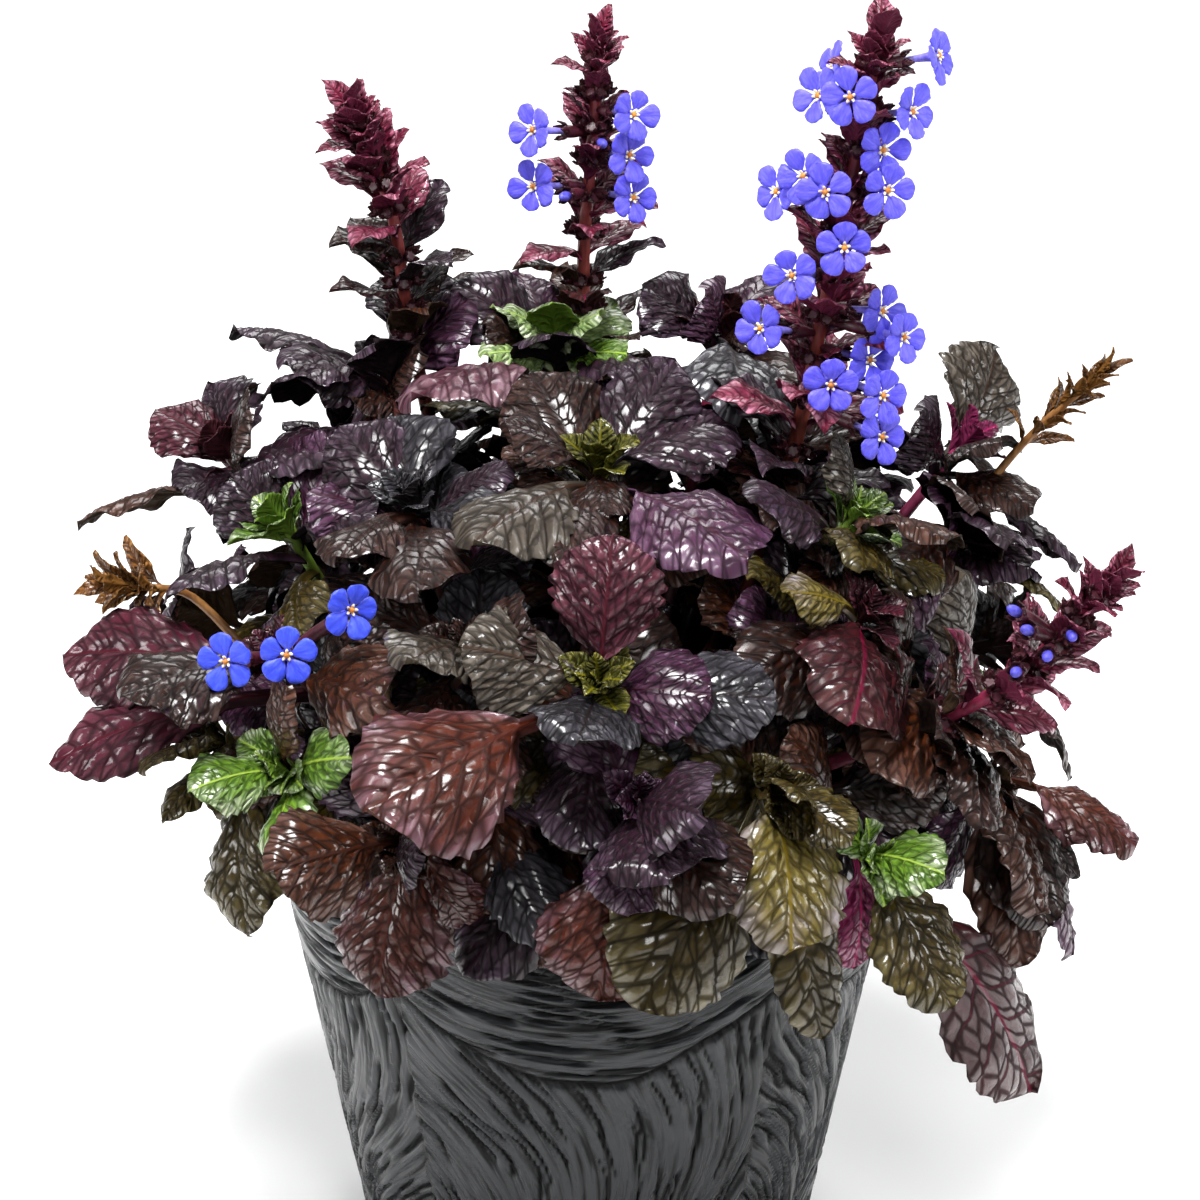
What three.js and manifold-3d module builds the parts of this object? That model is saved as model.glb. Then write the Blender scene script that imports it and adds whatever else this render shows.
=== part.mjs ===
import * as THREE from "three";
import { mergeVertices } from "three/addons/utils/BufferGeometryUtils.js";
import Module from "manifold-3d";

const wasm = await Module();
wasm.setup();

// A potted bugleweed in millimetres. +Z is up, -Y faces the viewer, and the origin is the middle of the
// pot's foot.
const clearance = 0.3;
const smallest = 0.05;
const pot = { footRadius: 60, rimRadius: 85, height: 150, wall: 4, floor: 7, edge: 1.2, sides: 32 };
const drain = { holes: 4, ring: 32, radius: 3.5, sides: 8 };
const soil = { top: 138, crown: 3, flatShare: 0.6, holeDepth: 14 };

// The mound of leaves: stems lean away from its heart, and feet stand closer together than the crowns do.
const mound = { heart: 110, across: 108, deep: 104, rise: 84, middle: 150 };
const stem = {
  half: 1.7,
  steps: 3,
  spikeSteps: 6,
  footShare: 0.5,
  spikeFootShare: 0.36,
  upright: 4,
  rimPass: 76,
  passShare: 0.8,
  passHeight: 171,
  passRise: 0.6,
  holeRoom: 0.45,
};

// A leaf: a winged stalk, an egg-shaped blade with scalloped edges, thick at the rib and thin at the rim.
const leaf = {
  thick: 1.3,
  stalkHalf: 1.2,
  arch: 0.1,
  droop: -0.2,
  wave: 0.05,
  scallop: 0.06,
  bulge: 1.25,
  fullness: 0.62,
};
// How finely a leaf is cut: points on its rib, and scallops on each edge.
const largeLeaf = { ribs: 2, scallops: 6 };
const mediumLeaf = { ribs: 1, scallops: 4 };
const smallLeaf = { ribs: 1, scallops: 3 };
const largeFrom = 36;
const mediumFrom = 23;
// A root starts a little way out from the stem's axis. Leaves of one shoot may share this much volume.
const rootOut = 0.9;
const crossing = 0.3;

// The young leaves at a crown: pairs at right angles, each longer and more open than the one above it.
const young = { below: 1, stalk: 0.12, headingSpread: 12, lengthSpread: 0.1 };
const heart = { first: 12, growth: 1.42, step: 3.2, open: 26, opening: 22, slim: 0.62, cup: 0.25 };
const backHeart = {
  pairs: 3, first: 20, growth: 1.42, step: 4, open: 32, opening: 24, slim: 0.64, cup: -0.1,
};
const backShoots = { count: 7, from: 10, step: 26.5, low: 10, high: 42 };

// A bloom: its petals part at waist of its radius, and each is twice spread degrees across at its tip.
const bloom = {
  petals: 5, radius: 7, tubeRadius: 1.1, thick: 1.2, waist: 0.36, spread: 21, dish: 1.2, turn: 0.25,
};
const tube = { share: 0.55, least: 4, most: 9 };
const calyx = { half: 1.6, below: 3, seats: 120 };
const bract = { stalk: 0.08, cup: 0.15, headingSpread: 14 };
const towardsLight = 0.8;
const upward = new THREE.Vector3(0, 0, 1);
const lightWay = new THREE.Vector3(0, -0.85, 0.5);

const colours = {
  pot: "#1b1d21",
  soil: "#2a1c13",
  burgundy: "#4a1a2b",
  dusk: "#3b2b38",
  umber: "#2e1b16",
  olive: "#4a3d17",
  fresh: "#5c7a22",
  rust: "#6b2d1c",
  plum: "#4b2440",
  slate: "#343038",
  bronze: "#553421",
  pale: "#9aa36a",
  bract: "#5f1a38",
  bloom: "#4a4fd6",
  straw: "#8a5c2c",
};

// Every shoot that shows from the front. crown: where its young leaves stand. pairs: of young leaves.
// leaves: how far below the crown each large leaf starts, its tip, its width, and its stalk's share of
// its length.
const shoots = [
  {
    name: "shoot_burgundy_left", colour: "burgundy", crown: [-92, 35, 212], pairs: 2,
    leaves: [
      [14, [-129, 18, 200], 24, 0.3], [5, [-112, 49, 212], 20, 0.15],
      [8, [-98, 63, 219], 24, 0.15], [6, [-62, 3, 227], 24, 0.15],
    ],
  },
  {
    name: "shoot_green_left", colour: "fresh", crown: [-74, -4, 211], pairs: 2,
    leaves: [
      [4, [-50, -24, 224], 18, 0.25], [10, [-100, -35, 207], 22, 0.25], [14, [-68, -42, 200], 18, 0.3],
    ],
  },
  {
    name: "shoot_dark_left", colour: "umber", crown: [-72, -48, 199], pairs: 1,
    leaves: [
      [6, [-107, -70, 200], 31, 0.25], [8, [-124, -26, 182], 26, 0.3],
      [16, [-126, -48, 162], 22, 0.3], [10, [-44, -86, 208], 24, 0.25],
    ],
  },
  {
    name: "shoot_olive_left", colour: "olive", crown: [-87, -52, 177], pairs: 1,
    leaves: [
      [8, [-100, -67, 164], 13, 0.25], [6, [-106, -68, 180], 20, 0.25],
      [10, [-80, -76, 138], 27, 0.2],
    ],
  },
  {
    name: "shoot_green_low_left", colour: "fresh", crown: [-70, -70, 180], pairs: 2,
    leaves: [
      [3, [-91, -82, 182], 18, 0.2], [2, [-64, -76, 208], 15, 0.2],
      [4, [-53, -89, 195], 17, 0.15], [8, [-73, -94, 176], 16, 0.2],
    ],
  },
  {
    name: "shoot_front_left", colour: "rust", crown: [-42, -90, 172], pairs: 1,
    leaves: [
      [2, [-70, -113, 180], 26, 0.25], [8, [-48, -101, 138], 29, 0.2],
      [8, [-29, -105, 142], 18, 0.2], [0, [-46, -117, 178], 22, 0.2],
    ],
  },
  {
    name: "shoot_front", colour: "bronze", crown: [3, -76, 207], pairs: 2,
    leaves: [
      [8, [-48, -117, 198], 37, 0.38], [1, [6, -62, 238], 26, 0.15], [3, [30, -101, 201], 28, 0.15],
      [7, [-7, -112, 187], 29, 0.25], [2, [-28, -84, 221], 25, 0.2], [6, [40, -87, 214], 24, 0.3],
    ],
  },
  {
    name: "shoot_front_right", colour: "dusk", crown: [12, -93, 186], pairs: 1,
    leaves: [
      [9, [3, -112, 144], 33, 0.3], [2, [37, -117, 188], 27, 0.15], [4, [12, -124, 178], 25, 0.25],
      [9, [21, -122, 166], 33, 0.25],
    ],
  },
  {
    name: "shoot_olive_right", colour: "olive", crown: [43, -85, 184], pairs: 1,
    leaves: [
      [2, [46, -115, 160], 32, 0.1], [8, [12, -112, 142], 34, 0.25], [9, [55, -95, 122], 19, 0.3],
      [0, [48, -104, 193], 13, 0.1], [0, [60, -102, 181], 16, 0.1],
    ],
  },
  {
    name: "shoot_green_right_front", colour: "fresh", crown: [66, -81, 162], pairs: 1,
    leaves: [
      [3, [82, -94, 167], 19, 0.1], [9, [74, -84, 106], 29, 0.25], [7, [78, -84, 131], 22, 0.2],
      [9, [111, -56, 78], 30, 0.28], [1, [65, -92, 179], 11, 0.1],
    ],
  },
  {
    name: "shoot_green_right", colour: "fresh", crown: [64, -13, 217], pairs: 2,
    leaves: [
      [1, [59, -12, 240], 19, 0.15], [3, [85, -38, 224], 28, 0.15], [5, [62, -47, 216], 20, 0.2],
      [6, [38, -42, 216], 18, 0.3], [9, [39, -42, 236], 21, 0.35],
    ],
  },
  {
    name: "shoot_bronze_right", colour: "burgundy", crown: [65, -42, 206], pairs: 1,
    leaves: [[3, [60, -86, 202], 32, 0.1], [1, [46, -60, 222], 14, 0.3], [4, [80, -71, 203], 24, 0.2]],
  },
  {
    name: "shoot_pale", colour: "pale", crown: [-8, 50, 233], pairs: 2,
    leaves: [
      [1, [-28, 55, 242], 18, 0.1], [5, [21, 17, 240], 24, 0.2], [5, [-8, 10, 236], 24, 0.15],
      [6, [-43, 8, 239], 32, 0.2], [5, [-18, 80, 243], 24, 0.15],
    ],
  },
  {
    name: "shoot_middle", colour: "slate", crown: [3, -17, 233], pairs: 2,
    leaves: [
      [2, [36, 2, 236], 30, 0.15], [2, [1, -42, 232], 14, 0.15], [6, [-26, -60, 234], 27, 0.25],
      [7, [37, -62, 231], 33, 0.3], [3, [-20, -20, 246], 20, 0.2],
    ],
  },
  {
    name: "shoot_burgundy_back", colour: "burgundy", crown: [34, 55, 237], pairs: 2,
    leaves: [
      [2, [52, 78, 243], 25, 0.15], [3, [38, 0, 238], 29, 0.3],
      [2, [26, 84, 240], 20, 0.2],
    ],
  },
  {
    name: "shoot_dusk_left", colour: "dusk", crown: [-52, 48, 229], pairs: 1,
    leaves: [
      [4, [-91, 49, 240], 23, 0.3], [5, [-79, 24, 236], 26, 0.25], [5, [-62, 16, 233], 20, 0.15],
      [2, [-62, 38, 246], 24, 0.1],
    ],
  },
  {
    name: "shoot_slate_left", colour: "slate", crown: [-41, -22, 226], pairs: 1,
    leaves: [
      [3, [-47, 6, 236], 27, 0.1], [4, [-58, -52, 226], 22, 0.3],
      [4, [-22, -44, 238], 20, 0.2],
    ],
  },
  {
    name: "shoot_middle_left", colour: "umber", crown: [-27, -65, 210], pairs: 1,
    leaves: [
      [2, [-36, -90, 219], 23, 0.1], [5, [-57, -48, 214], 22, 0.3],
      [6, [-42, -100, 205], 26, 0.3],
    ],
  },
  {
    name: "shoot_magenta_right", colour: "bronze", crown: [95, 36, 213], pairs: 1,
    leaves: [
      [6, [106, 60, 230], 28, 0.2], [5, [79, 66, 222], 24, 0.25], [4, [114, 56, 212], 20, 0.25],
      [12, [125, 14, 190], 18, 0.35],
    ],
  },
  {
    name: "shoot_dusk_right", colour: "dusk", crown: [93, 20, 200], pairs: 1,
    leaves: [
      [4, [119, 10, 208], 18, 0.4], [6, [109, -8, 192], 18, 0.25], [7, [122, -2, 182], 16, 0.4],
    ],
  },
  {
    name: "shoot_silver_right", colour: "olive", crown: [88, -40, 185], pairs: 1,
    leaves: [
      [2, [88, -40, 217], 23, 0.2], [3, [99, -74, 183], 22, 0.2], [6, [86, -84, 178], 24, 0.3],
    ],
  },
  {
    name: "shoot_brown_right", colour: "rust", crown: [99, -35, 156], pairs: 1,
    leaves: [
      [3, [133, -52, 148], 27, 0.3], [4, [107, -70, 140], 31, 0.2],
      [7, [124, -22, 96], 17, 0.4], [5, [98, -72, 142], 26, 0.3],
    ],
  },
];

// Flower spikes and dried heads. route: the stem above the mound. rows: pairs of bracts, from the lowest
// up. long and slim: the bracts' length at the bottom and top, and their width to length. lean: how far they
// open from the stem, in degrees, at the bottom and top.
const spikes = [
  {
    name: "spike_left", colour: "bract", route: [[-46, 52, 243], [-49, 50, 271], [-57, 47, 297]],
    start: 0.42, rows: 6, long: [21, 13], slim: 0.48, lean: [66, 18], crowding: 0.75,
  },
  {
    name: "spike_middle", colour: "bract", route: [[-1, 62, 247], [1, 60, 283], [3, 58, 312]],
    start: 0.12, rows: 7, long: [21, 11], slim: 0.42, lean: [78, 16], crowding: 0.9,
  },
  {
    name: "spike_right", colour: "bract", route: [[50, 4, 224], [59, 0, 280], [67, -2, 332]],
    start: 0.1, rows: 10, long: [25, 13], slim: 0.46, lean: [72, 16], crowding: 0.95,
  },
  {
    name: "spike_leaning", colour: "bract", route: [[73, -60, 183], [97, -66, 201], [117, -70, 228]],
    start: 0.3, rows: 6, long: [24, 12], slim: 0.42, lean: [62, 16], crowding: 0.8,
  },
  {
    name: "dried_head_right", colour: "straw", route: [[105, 26, 212], [115, 24, 226], [127, 21, 240]],
    start: 0.25, rows: 5, long: [12, 9], slim: 0.3, lean: [52, 14], crowding: 0.9,
  },
  {
    name: "dried_head_left", colour: "straw", route: [[-98, -12, 196], [-106, -18, 201], [-113, -22, 204]],
    start: 0.4, rows: 4, long: [15, 11], slim: 0.34, lean: [64, 20], crowding: 1,
  },
];

// Open blooms by the stem that bears them, each the middle of its face.
const blooms = {
  shoot_dark_left: [[-53, -69, 222], [-68, -74, 213], [-83, -68, 208]],
  spike_right: [
    [53, -4, 322], [60, -14, 325], [76, -4, 318], [44, -3, 298], [50, -9, 304], [55, -14, 302],
    [69, -8, 310], [70, -13, 302], [60, -16, 289], [48, -11, 280], [41, -5, 264], [71, -4, 268],
    [76, -8, 263], [58, -16, 254], [68, -8, 257], [71, -13, 250], [71, -15, 240], [82, 1, 330], [56, 3, 326],
  ],
  spike_middle: [[-14, 52, 293], [12, 52, 297], [11, 53, 286], [-14, 52, 278], [12, 52, 275]],
};
const buds = {
  spike_leaning: [[96, -76, 226], [99, -78, 222], [110, -76, 219], [104, -80, 216], [97, -80, 212]],
  spike_middle: [[4, 50, 290], [-6, 50, 276]],
};

// A random draw that gives the same numbers each time.
let seed = 20;
function draw() {
  seed = (seed + 0x6d2b79f5) | 0;
  let t = Math.imul(seed ^ (seed >>> 15), 1 | seed);
  t = (t + Math.imul(t ^ (t >>> 7), 61 | t)) ^ t;
  return ((t ^ (t >>> 14)) >>> 0) / 4294967296;
}
const spread = (most) => (draw() * 2 - 1) * most;
const radians = THREE.MathUtils.degToRad;
const vector = (xyz) => new THREE.Vector3(...xyz);

// A closed geometry as a solid, and a solid as a named mesh.
function solidOf(geometry) {
  geometry.deleteAttribute("normal");
  geometry.deleteAttribute("uv");
  const merged = mergeVertices(geometry, 1e-4);
  return new wasm.Manifold(
    new wasm.Mesh({
      numProp: 3,
      vertProperties: new Float32Array(merged.attributes.position.array),
      triVerts: new Uint32Array(merged.index.array),
    }),
  );
}

function solidOfPoints(points, faces) {
  return new wasm.Manifold(
    new wasm.Mesh({
      numProp: 3,
      vertProperties: new Float32Array(points.flatMap((p) => p.toArray())),
      triVerts: new Uint32Array(faces.flat()),
    }),
  );
}

function meshOf(name, solid, colour, roughness) {
  const pieces = solid.simplify(smallest).decompose().sort((a, b) => b.volume() - a.volume());
  const { vertProperties, triVerts } = pieces[0].getMesh();
  const geometry = new THREE.BufferGeometry();
  geometry.setAttribute("position", new THREE.BufferAttribute(vertProperties, 3));
  geometry.setIndex(new THREE.BufferAttribute(triVerts, 1));
  geometry.computeVertexNormals();
  const material = new THREE.MeshStandardMaterial({ color: colour, roughness, metalness: 0 });
  const mesh = new THREE.Mesh(geometry, material);
  mesh.name = name;
  return mesh;
}

// The pot's wall leans out from its foot to its rim.
function wallRadius(height) {
  return pot.footRadius + ((pot.rimRadius - pot.footRadius) * height) / pot.height;
}

function makePot() {
  const inner = (height) => wallRadius(height) - pot.wall;
  const profile = [
    [0, 0],
    [pot.footRadius - pot.edge, 0],
    [wallRadius(pot.edge), pot.edge],
    [wallRadius(pot.height - pot.edge), pot.height - pot.edge],
    [pot.rimRadius - pot.edge, pot.height],
    [inner(pot.height) + pot.edge, pot.height],
    [inner(pot.height - pot.edge), pot.height - pot.edge],
    [inner(pot.floor), pot.floor],
    [0, pot.floor],
  ].map(([x, y]) => new THREE.Vector2(x, y));
  let shell = solidOf(new THREE.LatheGeometry(profile, pot.sides).rotateX(Math.PI / 2));
  for (let i = 0; i < drain.holes; i++) {
    const angle = ((i + 0.5) * 2 * Math.PI) / drain.holes;
    const hole = new THREE.CylinderGeometry(drain.radius, drain.radius, 3 * pot.floor, drain.sides);
    hole.rotateX(Math.PI / 2).translate(drain.ring * Math.cos(angle), drain.ring * Math.sin(angle), 0);
    shell = shell.subtract(solidOf(hole));
  }
  return shell;
}

function makeSoil() {
  const fit = (height) => wallRadius(height) - pot.wall - clearance;
  const bed = pot.floor + clearance;
  const profile = [
    [0, bed],
    [fit(bed), bed],
    [fit(soil.top), soil.top],
    [soil.flatShare * pot.rimRadius, soil.top + soil.crown],
    [0, soil.top + soil.crown],
  ].map(([x, y]) => new THREE.Vector2(x, y));
  return solidOf(new THREE.LatheGeometry(profile, pot.sides).rotateX(Math.PI / 2));
}

// A stem's way from its hole in the soil to its crown. Low outer stems first rise over the pot's rim.
// turn shifts its lower part round the pot, in degrees.
function stemPath(route, footShare, turn) {
  const crown = route[0];
  const radius = Math.hypot(crown.x, crown.y);
  const outward = new THREE.Vector3(crown.x, crown.y, 0).applyAxisAngle(upward, radians(turn));
  const foot = outward.clone().multiplyScalar(footShare);
  const pass = outward.clone().setLength(Math.min(stem.rimPass, stem.passShare * radius));
  pass.z = Math.max(stem.passHeight, THREE.MathUtils.lerp(soil.top, crown.z, stem.passRise));
  const hidden = [
    foot.clone().setZ(soil.top + soil.crown - soil.holeDepth),
    foot.clone().setZ(soil.top + soil.crown + stem.upright),
    pass,
  ];
  return new THREE.CatmullRomCurve3([...hidden, ...route], false, "centripetal");
}

function barSolid(path, half, steps) {
  const section = new THREE.Shape([
    new THREE.Vector2(half, half),
    new THREE.Vector2(-half, half),
    new THREE.Vector2(-half, -half),
    new THREE.Vector2(half, -half),
  ]);
  return solidOf(new THREE.ExtrudeGeometry(section, { steps, extrudePath: path, bevelEnabled: false }));
}

// Two rows of points, each with its share u of the leaf's length, are joined by triangles in step.
function strip(ribs, edges, flip) {
  const faces = [];
  let i = 0;
  let j = 0;
  while (i < ribs.length - 1 || j < edges.length - 1) {
    const ribNext = i < ribs.length - 1 ? ribs[i + 1].u : Infinity;
    const edgeNext = j < edges.length - 1 ? edges[j + 1].u : Infinity;
    const onRib = ribNext < edgeNext;
    const next = onRib ? ribs[i + 1] : edges[j + 1];
    const face = [ribs[i].at, next.at, edges[j].at];
    if (new Set(face).size === 3) faces.push(flip ? face.reverse() : face);
    if (onRib) i++;
    else j++;
  }
  return faces;
}

// A leaf from its root to its tip, its upper face towards up. extra makes a larger copy to test for room.
function leafSolid({ root, tip, up, wide, stalk, detail, arch, droop, wave }, extra = 0) {
  const along = tip.clone().sub(root);
  const reach = along.length() + extra;
  along.normalize();
  const right = new THREE.Vector3().crossVectors(along, up).normalize();
  const face = new THREE.Vector3().crossVectors(right, along);
  const place = (u, across, lift) =>
    root
      .clone()
      .addScaledVector(along, reach * u)
      .addScaledVector(right, across)
      .addScaledVector(face, 4 * arch * reach * u * (1 - u) + lift);
  const halfWidth = (u) => {
    const v = Math.max(0, (u - stalk) / (1 - stalk));
    const blade = (wide / 2) * Math.sin(Math.PI * v ** leaf.bulge) ** leaf.fullness;
    return Math.max(leaf.stalkHalf, blade) + extra;
  };
  const points = [];
  const add = (point, u) => ({ at: points.push(point) - 1, u });
  const end = add(place(1, 0, 0), 1);
  const half = leaf.thick / 2 + extra;
  const ribAt = [0];
  for (let i = 1; i <= detail.ribs; i++) ribAt.push(stalk + ((1 - stalk) * i) / (detail.ribs + 1));
  const top = ribAt.map((u) => add(place(u, 0, half), u));
  const under = ribAt.map((u) => add(place(u, 0, -half), u));
  const edge = (sign) => {
    const row = [add(place(0, sign * (leaf.stalkHalf + extra), 0), 0)];
    for (let j = 1; j < detail.scallops; j++) {
      const v = j / detail.scallops;
      const u = stalk + (1 - stalk) * v;
      const across = halfWidth(u) * (1 + (j % 2 ? leaf.scallop : -leaf.scallop));
      const lift = droop * across + wave * wide * Math.sin(2 * Math.PI * (1.5 * v + 0.2 * sign));
      row.push(add(place(u, sign * across, lift), u));
    }
    return [...row, end];
  };
  const rightEdge = edge(1);
  const leftEdge = edge(-1);
  const faces = [
    ...strip([...top, end], leftEdge, false),
    ...strip([...top, end], rightEdge, true),
    ...strip([...under, end], leftEdge, true),
    ...strip([...under, end], rightEdge, false),
    [top[0].at, leftEdge[0].at, under[0].at],
    [top[0].at, under[0].at, rightEdge[0].at],
  ];
  return solidOfPoints(points, faces);
}

// A bloom: blunt petals round a dished throat that faces one way, and a short tube down to its own end.
function bloomSolid(centre, facing, tubeEnd) {
  const about = (origin, way) => {
    const turn = new THREE.Quaternion().setFromUnitVectors(new THREE.Vector3(0, 0, 1), way);
    return (radius, angle, height) =>
      new THREE.Vector3(radius * Math.cos(angle), radius * Math.sin(angle), height)
        .applyQuaternion(turn)
        .add(origin);
  };
  const place = about(centre, facing);
  const placeFoot = about(tubeEnd, centre.clone().sub(tubeEnd).normalize());
  const { petals } = bloom;
  const middleOf = (petal) => (2 * Math.PI * (petal + bloom.turn)) / petals;
  const points = [place(0, 0, -bloom.dish)];
  const outline = [];
  for (let i = 0; i < petals; i++) {
    const row = [
      [bloom.waist, -Math.PI / petals],
      [1, -radians(bloom.spread)],
      [1, radians(bloom.spread)],
    ];
    for (const [share, off] of row) {
      outline.push(points.push(place(bloom.radius * share, middleOf(i) + off, 0)) - 1);
    }
  }
  const ring = [];
  const foot = [];
  for (let i = 0; i < petals; i++) {
    const angle = middleOf(i) - Math.PI / petals;
    ring.push(points.push(place(bloom.tubeRadius, angle, -bloom.dish - bloom.thick)) - 1);
    foot.push(points.push(placeFoot(bloom.tubeRadius, angle, 0)) - 1);
  }
  const faces = [];
  outline.forEach((at, i) => {
    const next = outline[(i + 1) % outline.length];
    const own = ring[Math.floor((i + 1) / 3) % petals];
    faces.push([0, at, next], [next, at, own]);
  });
  ring.forEach((at, i) => {
    const next = ring[(i + 1) % petals];
    const nextFoot = foot[(i + 1) % petals];
    faces.push([at, foot[i], nextFoot], [at, nextFoot, next]);
    faces.push([next, outline[3 * i + 2], at]);
  });
  for (let i = 1; i < petals - 1; i++) faces.push([foot[0], foot[i + 1], foot[i]]);
  return solidOfPoints(points, faces);
}

// What is placed so far, by node.
const nodes = new Map();
const placed = [];

function place(node, solid) {
  const { solids } = nodes.get(node);
  placed.push({ node, solid, box: solid.boundingBox(), isStem: !solids.length });
  solids.push(solid);
}

function boxesMeet(a, b) {
  return [0, 1, 2].every((i) => a.min[i] < b.max[i] && b.min[i] < a.max[i]);
}

// How far a leaf would cut into another leaf of its own node, or Infinity where it meets another node.
function crowding(node, solid) {
  const box = solid.boundingBox();
  let own = 0;
  for (const other of placed) {
    const isOwn = other.node === node;
    if ((isOwn && other.isStem) || !boxesMeet(box, other.box)) continue;
    const shared = solid.intersect(other.solid);
    const volume = shared.volume();
    shared.delete();
    if (volume > 0 && !isOwn) return Infinity;
    own = Math.max(own, volume);
  }
  return own;
}

// Ways to bend a leaf that would cross a neighbour: lift and turn in degrees, then the share of its length.
const bends = [
  [0, 0, 1], [9, 0, 1], [-9, 0, 1], [0, 10, 1], [0, -10, 1], [16, 0, 1], [-16, 0, 1],
  [9, 12, 0.94], [9, -12, 0.94], [-9, 12, 0.94], [-9, -12, 0.94], [25, 0, 0.88], [-25, 0, 0.88],
  [14, 20, 0.85], [14, -20, 0.85], [-14, 20, 0.82], [-14, -20, 0.82], [32, 0, 0.76], [-32, 0, 0.76],
  [0, 28, 0.72], [0, -28, 0.72], [0, 0, 0.6],
];

function placeLeaf(node, shape) {
  const along = shape.tip.clone().sub(shape.root);
  const right = new THREE.Vector3().crossVectors(along, shape.up).normalize();
  const face = new THREE.Vector3().crossVectors(right, along).normalize();
  let best = null;
  let least = Infinity;
  for (const [lift, turn, share] of bends) {
    const way = along.clone().applyAxisAngle(right, radians(lift)).applyAxisAngle(face, radians(turn));
    const tip = shape.root.clone().addScaledVector(way, share);
    const bent = { ...shape, tip, wide: shape.wide * Math.sqrt(share) };
    const room = leafSolid(bent, clearance);
    const crowded = crowding(node, room);
    room.delete();
    if (crowded < least) {
      best = bent;
      least = crowded;
    }
    if (least < crossing) break;
  }
  if (best) place(node, leafSolid(best));
}

function detailFor(length) {
  if (length > largeFrom) return largeLeaf;
  return length > mediumFrom ? mediumLeaf : smallLeaf;
}

// Pairs of young leaves round an axis, from the crown down.
function placeYoung(node, path, axis, pairs, rule) {
  const across = new THREE.Vector3().crossVectors(axis, new THREE.Vector3(0.3, 1, 0.1)).normalize();
  const start = draw() * 180;
  for (let pair = 0; pair < pairs; pair++) {
    const length = rule.first * rule.growth ** pair;
    const open = radians(rule.open + rule.opening * pair);
    for (const half of [0, 180]) {
      const heading = radians(start + 90 * pair + half + spread(young.headingSpread));
      const out = across.clone().applyAxisAngle(axis, heading);
      const way = axis.clone().multiplyScalar(Math.cos(open)).addScaledVector(out, Math.sin(open));
      const root = pointBelow(path, young.below + rule.step * pair).addScaledVector(out, rootOut);
      placeLeaf(node, {
        root,
        tip: root.clone().addScaledVector(way, length * (1 + spread(young.lengthSpread))),
        up: axis,
        wide: rule.slim * length,
        stalk: young.stalk,
        detail: detailFor(length),
        arch: leaf.arch,
        droop: rule.cup,
        wave: leaf.wave,
      });
    }
  }
}

function pointBelow(path, distance) {
  return path.getPointAt(1 - distance / path.getLength());
}

// The shoots at the back stand on the mound at even bearings, high and low in turn.
function backCrown(index) {
  const bearing = radians(backShoots.from + backShoots.step * index);
  const rise = radians(index % 2 ? backShoots.high : backShoots.low);
  return [
    mound.across * Math.cos(rise) * Math.cos(bearing),
    mound.deep * Math.cos(rise) * Math.sin(bearing),
    mound.middle + mound.rise * Math.sin(rise),
  ];
}

// Every stem, with its way up from the soil, the way its tip points, and a node to gather its solids.
// The lower part of a stem turns aside where an earlier stem stands.
const footTurns = [0, 6, -6, 12, -12, 18, -18, 24, -24, 32, -32];
const stems = [];
function findPath(route, footShare, steps) {
  for (const turn of footTurns) {
    const path = stemPath(route, footShare, turn);
    const room = barSolid(path, stem.half + clearance, steps);
    if (stems.every((other) => room.intersect(other).isEmpty())) {
      stems.push(barSolid(path, stem.half, steps));
      return path;
    }
  }
  throw new Error("a stem has no way up");
}
const backColours = ["umber", "plum", "dusk", "bronze"];
const backs = Array.from({ length: backShoots.count }, (_, i) => ({
  name: `shoot_back_${i + 1}`,
  colour: backColours[i % backColours.length],
  crown: backCrown(i),
  pairs: backHeart.pairs,
  rule: backHeart,
  leaves: [],
}));
const leafy = [...shoots, ...backs].map((shoot) => {
  const crown = vector(shoot.crown);
  const axis = crown.clone().setZ(crown.z - mound.heart).normalize();
  const path = findPath([crown], stem.footShare, stem.steps);
  return { rule: heart, ...shoot, axis, path, steps: stem.steps };
});
const flowering = spikes.map((spike) => {
  const route = spike.route.map(vector);
  const path = findPath(route, stem.spikeFootShare, stem.spikeSteps);
  const reach = route[0].distanceTo(route[1]) + route[1].distanceTo(route[2]);
  return { ...spike, path, reach, steps: stem.spikeSteps };
});

function addNode(name, colour, roughness) {
  nodes.set(name, { colour: colours[colour], roughness, solids: [] });
}

addNode("pot", "pot", 0.35);
addNode("soil", "soil", 0.95);
place("pot", makePot());
let bed = makeSoil();
for (const { name, colour, path, steps } of [...leafy, ...flowering]) {
  addNode(name, colour, 0.55);
  place(name, barSolid(path, stem.half, steps));
  const lower = path.points.map((point, i) => (i ? point : point.clone().setZ(point.z - 2 * clearance)));
  const hole = new THREE.CatmullRomCurve3(lower, false, "centripetal");
  bed = bed.subtract(barSolid(hole, stem.half + stem.holeRoom, steps));
}
place("soil", bed);

// A flower's place on its stem: the nearest point of the stem a little below it.
function seatOn(path, centre) {
  const aim = centre.clone().setZ(centre.z - calyx.below);
  const points = path.getSpacedPoints(calyx.seats);
  return points.reduce((best, point) => (point.distanceTo(aim) < best.distanceTo(aim) ? point : best));
}

function facingOf(centre, seat) {
  const outward = centre.clone().sub(seat).setZ(0).normalize();
  return outward.addScaledVector(lightWay, towardsLight).normalize();
}

// The calyx stands out from the stem, in line with the flower's tube and just clear of it.
function calyxSolid(seat, end) {
  return barSolid(new THREE.LineCurve3(seat, end), calyx.half, 1);
}

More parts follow.
